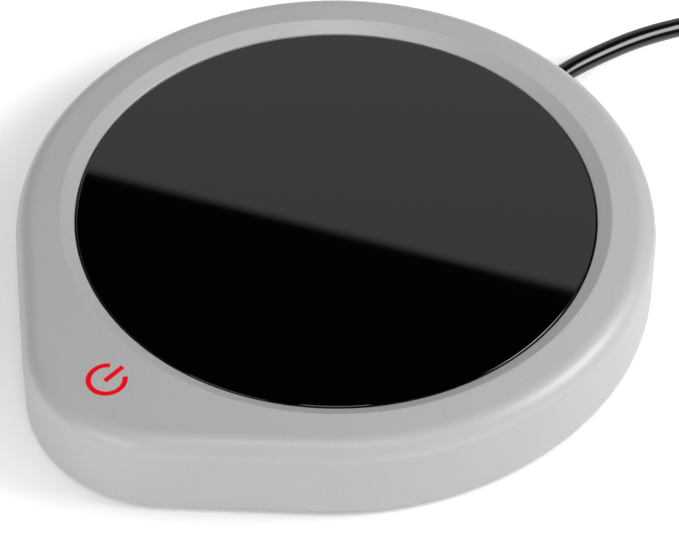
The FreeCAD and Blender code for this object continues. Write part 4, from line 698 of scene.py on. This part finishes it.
class WARMER_OT_plug(bpy.types.Operator):
    """Makes the plug's moulded body and its ribbed strain relief"""
    bl_idname = "warmer.plug"
    bl_label = "Plug"

    def execute(self, context):
        sizes, colours = context.scene.warmer_sizes, context.scene.warmer_colours
        # Moulded soft PVC: black with a broad soft gloss.
        plastic = moulded("moulded_PVC_black", colours.plug, 0.3, 0.04, 0.4, 0.2, 0.1)
        self.make_body(sizes, plastic)
        self.make_relief(sizes, plastic)
        return {"FINISHED"}

    def make_body(self, sizes, plastic):
        """The body, with ribs to grip on its two broad faces."""
        wide, high = (PLUG_HIGH.x - PLUG_LOW.x) / 2, (PLUG_HIGH.z - PLUG_LOW.z) / 2
        deep = PLUG_HIGH.y - PLUG_LOW.y
        neck = (RELIEF_HIGH.x - RELIEF_LOW.x) / 2
        middle = (PLUG_LOW + PLUG_HIGH) / 2
        waist, dip = 0.66, 0.0006  # where the faces are lowest, as a share of the depth, and how deep
        # Share of the way to the front, half width, half height and corner round.
        stations = [
            (0.0, neck - 0.0008, neck - 0.0008, 0.0034), (0.02, neck, neck, 0.004),
            (0.12, 0.0064, 0.0050, 0.0042), (0.26, 0.0086, 0.0053, 0.0036),
            (0.40, wide - 0.0006, high - 0.0003, 0.0030),
            (0.50, wide - 0.0001, high - 0.0004, 0.0027), (waist, wide - dip, high - dip, 0.0026),
            (0.84, wide - 0.0001, high - 0.0001, 0.0026), (0.96, wide, high, 0.0026),
            (0.985, wide - 0.0001, high - 0.0001, 0.0025), (0.997, wide - 0.0005, high - 0.0005, 0.0022),
            (1.0, wide - 0.0010, high - 0.0010, 0.0018),
        ]
        rings = []
        for share, half_wide, half_high, corner in stations:
            section = rounded_box(half_wide, half_high, corner)
            y = PLUG_HIGH.y - deep * share
            rings.append([Vector((middle.x + p.x, y, middle.z + p.y)) for p, _ in section])
        piece = new_piece("plug_moulding", ring_mesh("plug_moulding", rings, sharp=40.0, caps=(True, True)))
        outward(piece)
        dress(piece, plastic)
        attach(piece, "root")
        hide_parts("plug_body")

        tree, given = new_tree("plug_grip", {"Length": "Float", "Width": "Float"})
        half = add_node(tree, "ShaderNodeMath", {"operation": "DIVIDE", 1: 2.0}, {0: given["Width"]})
        profile = add_node(tree, "GeometryNodeCurvePrimitiveCircle", {"Resolution": 12},
                           {"Radius": half.outputs[0]})
        reach = add_node(tree, "ShaderNodeCombineXYZ", links={"X": given["Length"]})
        line = add_node(tree, "GeometryNodeMeshLine", {"mode": "END_POINTS", "Count": 2},
                        {"Offset": reach.outputs[0]})
        path = add_node(tree, "GeometryNodeMeshToCurve", links={0: line.outputs[0]})
        bar = add_node(tree, "GeometryNodeCurveToMesh", {"Fill Caps": True},
                       {0: path.outputs[0], 1: profile.outputs["Curve"]})
        spread = add_node(tree, "GeometryNodeInstanceOnPoints",
                          links={"Points": given["Geometry"], "Instance": bar.outputs[0]})
        finish_tree(tree, spread, plastic)
        length, pitch = wide * 1.1, 2.2 * sizes.grip_rib
        places = []
        for k in range(sizes.grip_ribs):
            y = PLUG_HIGH.y - deep * waist + (k - (sizes.grip_ribs - 1) / 2) * pitch
            places += [Vector((middle.x - length / 2, y, middle.z + s * (high - dip))) for s in (-1, 1)]
        grips = grow("plug_grips", places, tree, {"Length": length, "Width": sizes.grip_rib}, plastic)
        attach(grips, "root")

    def make_relief(self, sizes, plastic):
        """The tapered strain relief: a smooth core with ribs round it."""
        low, high = RELIEF_LOW.y, RELIEF_HIGH.y
        big, small = (RELIEF_HIGH.x - RELIEF_LOW.x) / 2, sizes.relief_end
        middle = (RELIEF_LOW + RELIEF_HIGH) / 2
        lengths = dict.fromkeys(("Length", "Large", "Small", "Rib"), "Float")
        tree, given = new_tree("strain_relief", {"Ribs": "Int", **lengths})
        rounding = add_node(tree, "ShaderNodeMath", {"operation": "MULTIPLY", 1: 0.3}, {0: given["Rib"]})
        tall = add_node(tree, "ShaderNodeMath", {"operation": "MULTIPLY", 1: 0.7}, {0: given["Rib"]})
        inside = add_node(tree, "ShaderNodeMath", {"operation": "SUBTRACT"},
                          {0: given["Large"], 1: tall.outputs[0]})
        ring = rounded_ring(tree, 40, inside.outputs[0], given["Rib"], given["Rib"], rounding.outputs[0])
        upright = add_node(tree, "GeometryNodeTransform", {"Rotation": (math.pi / 2, 0, 0)},
                           {"Geometry": ring.outputs[0]})
        last = add_node(tree, "ShaderNodeMath", {"operation": "SUBTRACT", 1: 1.0}, {0: given["Ribs"]})
        pitch = add_node(tree, "ShaderNodeMath", {"operation": "DIVIDE"},
                         {0: given["Length"], 1: last.outputs[0]})
        away = add_node(tree, "ShaderNodeCombineXYZ", links={"Y": pitch.outputs[0]})
        row = add_node(tree, "GeometryNodeMeshLine", {"mode": "OFFSET"},
                       {"Count": given["Ribs"], "Offset": away.outputs[0]})
        step = add_node(tree, "GeometryNodeInputIndex")
        taper = add_node(tree, "ShaderNodeMath", {"operation": "DIVIDE"},
                         {0: given["Small"], 1: given["Large"]})
        wane = add_node(tree, "ShaderNodeMapRange", {"From Min": 0.0, "To Min": 1.0},
                        {"Value": step.outputs[0], "From Max": last.outputs[0], "To Max": taper.outputs[0]})
        spread = add_node(tree, "GeometryNodeInstanceOnPoints", {},
                          {"Points": row.outputs[0], "Instance": upright.outputs[0],
                           "Scale": wane.outputs[0]})
        places = add_node(tree, "GeometryNodeInstanceOnPoints", {},
                          {"Points": given["Geometry"], "Instance": spread.outputs[0]})
        finish_tree(tree, places, plastic)
        rib = sizes.relief_rib
        start = Vector((middle.x, low + rib / 2, middle.z))
        values = {"Ribs": sizes.relief_ribs, "Length": high - low - rib, "Large": big, "Small": small,
                  "Rib": rib}
        ribs = grow("relief_ribs", [start], tree, values, plastic)
        outward(ribs)
        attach(ribs, "root")

        steps, inner = 40, 0.86  # points round the core, and its radius as a share of the ribs'
        around = [2 * math.pi * k / steps for k in range(steps)]
        # Where along the relief and how wide: the plug's end, the waist, and the bevelled end at the cord.
        core = [(low, big * inner), (low + 0.4 * (high - low), 0.0036), (high - 0.0004, small * inner),
                (high, small * inner - 0.0003)]
        rings = [
            [Vector((middle.x + r * math.cos(a), y, middle.z + r * math.sin(a))) for a in around]
            for y, r in core
        ]
        stem = new_piece("relief_core", ring_mesh("relief_core", rings, caps=(True, True)))
        outward(stem)
        dress(stem, plastic)
        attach(stem, "root")
        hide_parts("plug_relief")


class WARMER_OT_feet(bpy.types.Operator):
    """Makes the four rubber feet: a disc with a raised rim"""
    bl_idname = "warmer.feet"
    bl_label = "Feet"

    def execute(self, context):
        sizes, colours = context.scene.warmer_sizes, context.scene.warmer_colours
        # Moulded rubber: matt, near black, a little dusty.
        rubber = moulded("moulded_rubber", colours.rubber, 0.75, 0.06, 0.5, 0.4, 0.12, ior=1.52)
        tree, given = new_tree("rubber_foot", dict.fromkeys(("Radius", "Height", "Rim", "Hollow"), "Float"))
        half_rim = add_node(tree, "ShaderNodeMath", {"operation": "DIVIDE", 1: 2.0}, {0: given["Rim"]})
        path_radius = add_node(tree, "ShaderNodeMath", {"operation": "SUBTRACT"},
                               {0: given["Radius"], 1: half_rim.outputs[0]})
        bend = add_node(tree, "ShaderNodeMath", {"operation": "MULTIPLY", 1: 0.3}, {0: given["Rim"]})
        rim = rounded_ring(tree, 64, path_radius.outputs[0], given["Rim"], given["Height"], bend.outputs[0])
        half_high = add_node(tree, "ShaderNodeMath", {"operation": "DIVIDE", 1: 2.0}, {0: given["Height"]})
        deep = add_node(tree, "ShaderNodeMath", {"operation": "SUBTRACT"},
                        {0: given["Height"], 1: given["Hollow"]})
        disc = add_node(tree, "GeometryNodeMeshCylinder", {"Vertices": 64},
                        {"Radius": path_radius.outputs[0], "Depth": deep.outputs[0]})
        sunk = add_node(tree, "ShaderNodeMath", {"operation": "MULTIPLY_ADD", 1: 0.5},
                        {0: deep.outputs[0], 2: given["Hollow"]})
        whole = add_node(tree, "GeometryNodeJoinGeometry")
        for shape, height in ((rim, half_high), (disc, sunk)):
            up = add_node(tree, "ShaderNodeCombineXYZ", links={"Z": height.outputs[0]})
            raised = add_node(tree, "GeometryNodeTransform",
                              links={"Geometry": shape.outputs[0], "Translation": up.outputs[0]})
            connect(tree, whole, {0: raised.outputs[0]})
        spread = add_node(tree, "GeometryNodeInstanceOnPoints",
                          links={"Points": given["Geometry"], "Instance": whole.outputs[0]})
        finish_tree(tree, spread, rubber)
        places = []
        for node in FEET:
            low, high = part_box(node)
            places.append(Vector(((low.x + high.x) / 2, (low.y + high.y) / 2, low.z)))
        values = {"Radius": (FOOT_HIGH.x - FOOT_LOW.x) / 2, "Height": FOOT_HIGH.z - FOOT_LOW.z,
                  "Rim": sizes.foot_rim, "Hollow": sizes.foot_hollow}
        piece = grow("rubber_feet", places, tree, values, rubber)
        outward(piece)
        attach(piece, "root")
        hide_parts(*FEET)
        return {"FINISHED"}


class WARMER_OT_cord(bpy.types.Operator):
    """Makes the mains cord: out of the casing, through the put-away coil and to the plug"""
    bl_idname = "warmer.cord"
    bl_label = "Cord"

    def execute(self, context):
        sizes, colours = context.scene.warmer_sizes, context.scene.warmer_colours
        curve = bpy.data.curves.new("mains_cord", "CURVE")
        curve.dimensions = "3D"
        curve.bevel_depth = sizes.cord_diameter / 2
        curve.bevel_resolution = 6
        curve.resolution_u = 6
        curve.use_fill_caps = True
        route = [Vector(p) for p in LEAD_ROUTE] + coil_points(sizes) + [Vector(p) for p in TAIL_ROUTE]
        spline = curve.splines.new("NURBS")
        spline.points.add(len(route) - 1)
        for point, place in zip(spline.points, route):
            point.co = (*place, 1.0)
        spline.order_u = 3
        spline.use_endpoint_u = True
        piece = new_piece("mains_cord", curve)
        dress(piece, sheath_pvc("extruded_PVC_black", colours.cord, 0.16))
        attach(piece, "root")
        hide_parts("cord_lead", "cord_coil", "cord_tail")
        carried = [frame["nodes"][n] for n in ("cord_bush", "plug_blade_left", "plug_blade_right")]
        made = ("cord_strap", "plug_moulding", "plug_grips", "relief_core", "relief_ribs")
        carried += [bpy.data.objects[n] for n in made]
        return {"FINISHED"}


class WARMER_OT_carried(bpy.types.Operator):
    """Gives the CAD pieces that stay their finishes"""
    bl_idname = "warmer.carried"
    bl_label = "Carried pieces"

    def execute(self, context):
        colours = context.scene.warmer_colours
        # Each comment says what the material gives the eye.
        finishes = {
            # The cord's own sheath, inside the casing too.
            "cord_sheath": bpy.data.materials["extruded_PVC_black"],
            # ABS from an eroded mould: dull and dark, with an even fine grain.
            "base_plastic": moulded("moulded_ABS_dark", colours.cover, 0.5, 0.05, 0.3, 0.4, 0.06),
            # Silicone rubber: smooth and soft, almost without gloss.
            "silicone": moulded("silicone_rubber_grey", paint("#8C8E92"), 0.6, 0.05, 0.5, 0.1, 0.05,
                                ior=1.41),
            # Needled glass fibre: matt and fuzzy, off-white.
            "insulation_fibre": moulded("needled_glass_fibre", paint("#DCD6C8"), 0.95, 0.03, 0.7, 0.8, 0.1),
            # PBT: hard and black, with a slight sheen.
            "tray_plastic": moulded("moulded_PBT_black", paint("#1A1A1B"), 0.45, 0.05, 0.3, 0.3, 0.08),
            # Epoxy moulding compound: fine and matt.
            "component_plastic": moulded("epoxy_moulding_black", paint("#161616"), 0.5, 0.05, 0.2, 0.3, 0.1),
            # Acetal: ivory, with a waxy gloss.
            "plunger_plastic": moulded("acetal_ivory", paint("#DAD3C0"), 0.35, 0.05, 0.3, 0.1, 0.03),
            # Solder mask on laminate: green and glossy, a little uneven from the weave below.
            "board_laminate": moulded("solder_masked_laminate", paint("#17592F"), 0.3, 0.05, 0.8, 0.2, 0.12),
            # PBT box: smooth ochre with a soft gloss.
            "capacitor_plastic": moulded("capacitor_box_PBT", paint("#C9A53A"), 0.35, 0.05, 0.3, 0.1, 0.05),
            # Glazed ceramic: white, with sharp highlights.
            "fuse_ceramic": moulded("glazed_ceramic_white", paint("#DCD8CE"), 0.2, 0.03, 0.5, 0.05, 0.03),
            # Tinted epoxy: deep red and almost as smooth as glass.
            "led_lens": moulded("tinted_epoxy_red", paint("#C01A18"), 0.12, 0.02, 0.5, 0.03, 0.05),
            # PVC on the mains wires: smooth, with a soft gloss.
            "live_insulation": moulded("wire_PVC_brown", paint("#5A3420"), 0.3, 0.04, 0.4, 0.05, 0.05),
            "neutral_insulation": moulded("wire_PVC_blue", paint("#27519E"), 0.3, 0.04, 0.4, 0.05, 0.05),
            # Silicone sleeve: chalky white.
            "lead_silicone": moulded("wire_silicone_white", paint("#DAD8D2"), 0.5, 0.04, 0.4, 0.05, 0.04),
            # Rolled aluminium: bright, its highlight drawn out along the rolling lines.
            "spreader_aluminium": sheet_metal("rolled_aluminium", "#C9CACD", 0.32),
            # Etched steel foil: dull and a little warm.
            "track_foil": sheet_metal("etched_steel_foil", "#9C9892", 0.35),
            # Drawn spring steel: grey, with a tight highlight along the wire.
            "spring_steel": sheet_metal("drawn_spring_steel", "#A9ABAE", 0.28),
            # Zinc-plated steel: cool and bright.
            "screw_steel": sheet_metal("zinc_plated_steel", "#B9BBC0", 0.3),
            # Nickel-plated brass: warm silver, and the glossiest metal here.
            "blade_brass": sheet_metal("nickel_plated_brass", "#C8C2B4", 0.22),
        }
        for name, node in frame["nodes"].items():
            if slots[name] in finishes:
                dress(node, finishes[slots[name]])
        return {"FINISHED"}


class WARMER_OT_yielding(bpy.types.Operator):
    """Makes the springs and the heater's leads as pieces of their own, each with a mesh of its own"""
    bl_idname = "warmer.yielding"
    bl_label = "Springs and heater leads"

    def execute(self, context):
        for name in YIELDING:
            mesh = frame["nodes"][name].data.copy()
            made = bmesh.new()
            made.from_mesh(mesh)
            bmesh.ops.remove_doubles(made, verts=made.verts, dist=0.001 * MM)
            made.to_mesh(mesh)
            made.free()
            piece = new_piece(f"{name}_live", mesh)
            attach(piece, "root")
            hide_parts(name)
            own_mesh(piece)
        return {"FINISHED"}


# The stage

def camera_axes(view):
    """The camera's right, up and back, as the photograph's viewpoint gives them."""
    a, e, roll = view.azimuth, view.elevation, view.roll
    back = Vector((math.sin(a) * math.cos(e), -math.cos(a) * math.cos(e), math.sin(e)))
    right = Vector((math.cos(a), math.sin(a), 0))
    up = back.cross(right)
    return right * math.cos(roll) + up * math.sin(roll), up * math.cos(roll) - right * math.sin(roll), back


def sight(view, x, y):
    """The line of sight through a pixel of the photograph."""
    right, up, back = camera_axes(view)
    reach = view.lens / SENSOR_MM * PHOTO_WIDTH
    return (right * (x - PHOTO_WIDTH / 2) - up * (y - PHOTO_HEIGHT / 2) - back * reach).normalized()


class WARMER_OT_stage(bpy.types.Operator):
    """Makes the floor, the studio's light and the camera"""
    bl_idname = "warmer.stage"
    bl_label = "Stage"

    def execute(self, context):
        view, colours = context.scene.warmer_camera, context.scene.warmer_colours
        lens = bpy.data.cameras.new("camera")
        lens.lens = view.lens
        lens.sensor_width = SENSOR_MM
        camera = bpy.data.objects.new("camera", lens)
        context.scene.collection.objects.link(camera)
        right, up, back = camera_axes(view)
        turn = Matrix((right, up, back)).transposed().to_4x4()
        camera.matrix_world = Matrix.Translation(view.place) @ turn
        context.scene.camera = camera

        self.make_floor(colours)
        self.make_world(context.scene, view)
        for name, place, width, watts, shines in LAMPS:
            lamp = bpy.data.lights.new(name, "AREA")
            lamp.size = width
            lamp.energy = watts
            light = bpy.data.objects.new(name, lamp)
            light.location = place
            light.rotation_mode = "QUATERNION"
            light.rotation_quaternion = (-Vector(place)).to_track_quat("-Z", "Y")
            light.visible_glossy = shines
            context.scene.collection.objects.link(light)
        context.scene.view_settings.view_transform = "Standard"
        return {"FINISHED"}

    def make_floor(self, colours):
        reach = 4.0
        mesh = bpy.data.meshes.new("floor")
        mesh.from_pydata([(-reach, -reach, 0), (reach, -reach, 0), (reach, reach, 0), (-reach, reach, 0)],
                         [], [(0, 1, 2, 3)])
        floor = new_piece("floor", mesh)
        material, tree, shader, place = new_material("painted_board_white", {
            "Base Color": colours.floor, "Roughness": 0.6, "Specular IOR Level": 0.2,
            "Emission Color": (1, 1, 1, 1)})
        # Painted board: matt, white to the eye and in reflections, and it keeps the warmer's shadow. Its glow
        # is dimmed near the warmer, which paints shade round it.
        rays = add_node(tree, "ShaderNodeLightPath")
        looked = add_node(tree, "ShaderNodeMath", {"operation": "MAXIMUM"},
                          {0: rays.outputs["Is Camera Ray"], 1: rays.outputs["Is Glossy Ray"]})
        through = add_node(tree, "ShaderNodeMath", {"operation": "MAXIMUM"},
                           {0: looked.outputs[0], 1: rays.outputs["Is Transmission Ray"]})
        away = add_node(tree, "ShaderNodeVectorMath", {"operation": "LENGTH"}, {0: place})
        # Painted shade: the glow is weak near the warmer and grows to white further out.
        glow_past_painted_shade = add_node(tree, "ShaderNodeMapRange",
                              {"interpolation_type": "SMOOTHSTEP", "From Min": BOARD_NEAR,
                               "From Max": BOARD_FAR, "To Min": BOARD_GLOW_IN_PAINTED_SHADE, "To Max": BOARD_WHITE},
                              {"Value": away.outputs["Value"]})
        lift = add_node(tree, "ShaderNodeMath", {"operation": "MULTIPLY"},
                        {0: through.outputs[0], 1: glow_past_painted_shade.outputs[0]})
        connect(tree, shader, {"Emission Strength": lift.outputs[0]})
        dress(floor, material)

    def make_world(self, scene, view):
        """White for the camera, grey as light, and for reflections a bright wall under a dark ceiling."""
        world = bpy.data.worlds.new("studio")
        scene.world = world
        world.use_nodes = True
        tree = world.node_tree
        tree.nodes.clear()
        mirror_eye = Vector(view.place)
        mirror_eye.z = 2 * GLASS_HIGH.z - mirror_eye.z

        def mirrored(pixel):
            ray = sight(view, *pixel)
            return Vector((ray.x, ray.y, -ray.z))

        edge = mirrored(WALL_EDGE_LEFT).cross(mirrored(WALL_EDGE_RIGHT)).normalized()
        if edge.z > 0:
            edge.negate()
        way = add_node(tree, "ShaderNodeTexCoord").outputs["Generated"]
        side = add_node(tree, "ShaderNodeVectorMath", {"operation": "DOT_PRODUCT", 1: edge}, {0: way})
        wall = add_node(tree, "ShaderNodeMapRange", {"From Min": -WALL_SOFT, "From Max": WALL_SOFT},
                        {"Value": side.outputs["Value"]})
        rays = add_node(tree, "ShaderNodeLightPath")
        lights = add_node(tree, "ShaderNodeBackground", {"Color": (1, 1, 1, 1), "Strength": ROOM_LIGHT})
        dark = add_node(tree, "ShaderNodeBackground", {"Color": (0, 0, 0, 1), "Strength": 0.0})
        bright = add_node(tree, "ShaderNodeBackground", {"Color": (1, 1, 1, 1), "Strength": WALL_BRIGHT})
        seen = add_node(tree, "ShaderNodeBackground", {"Color": (1, 1, 1, 1), "Strength": 1.0})
        room = add_node(tree, "ShaderNodeMixShader", {},
                        {0: wall.outputs[0], 1: dark.outputs[0], 2: bright.outputs[0]})
        gloss = add_node(tree, "ShaderNodeMixShader", {},
                         {0: rays.outputs["Is Glossy Ray"], 1: lights.outputs[0], 2: room.outputs[0]})
        eye = add_node(tree, "ShaderNodeMixShader", {},
                       {0: rays.outputs["Is Camera Ray"], 1: gloss.outputs[0], 2: seen.outputs[0]})
        add_node(tree, "ShaderNodeOutputWorld", links={"Surface": eye.outputs[0]})


class WARMER_PT_panel(bpy.types.Panel):
    """Lists the pieces of the mug warmer"""
    bl_idname = "WARMER_PT_panel"
    bl_label = "Mug Warmer"
    bl_space_type = "VIEW_3D"
    bl_region_type = "UI"
    bl_category = "Mug Warmer"

    def draw(self, context):
        for group in (context.scene.warmer_sizes, context.scene.warmer_colours, context.scene.warmer_camera):
            column = self.layout.column()
            for name in group.__annotations__:
                column.prop(group, name)
        for operator in OPERATORS:
            self.layout.operator(operator.bl_idname)


GROUPS = {"warmer_sizes": WarmerSizes, "warmer_colours": WarmerColours, "warmer_camera": WarmerCamera}
OPERATORS = (
    WARMER_OT_stage,
    WARMER_OT_tie,
    WARMER_OT_plug,
    WARMER_OT_cord,
    WARMER_OT_feet,
    WARMER_OT_casing,
    WARMER_OT_plate,
    WARMER_OT_sign,
    WARMER_OT_carried,
    WARMER_OT_yielding,
)


def register():
    for kind in (*GROUPS.values(), *OPERATORS, WARMER_PT_panel):
        bpy.utils.register_class(kind)
    for name, kind in GROUPS.items():
        setattr(bpy.types.Scene, name, PointerProperty(type=kind))


def unregister():
    for name in GROUPS:
        delattr(bpy.types.Scene, name)
    for kind in reversed((*GROUPS.values(), *OPERATORS, WARMER_PT_panel)):
        bpy.utils.unregister_class(kind)


def main():
    register()
    for operator in OPERATORS:
        group, name = operator.bl_idname.split(".")
        getattr(getattr(bpy.ops, group), name)()


if __name__ == "__main__":
    main()
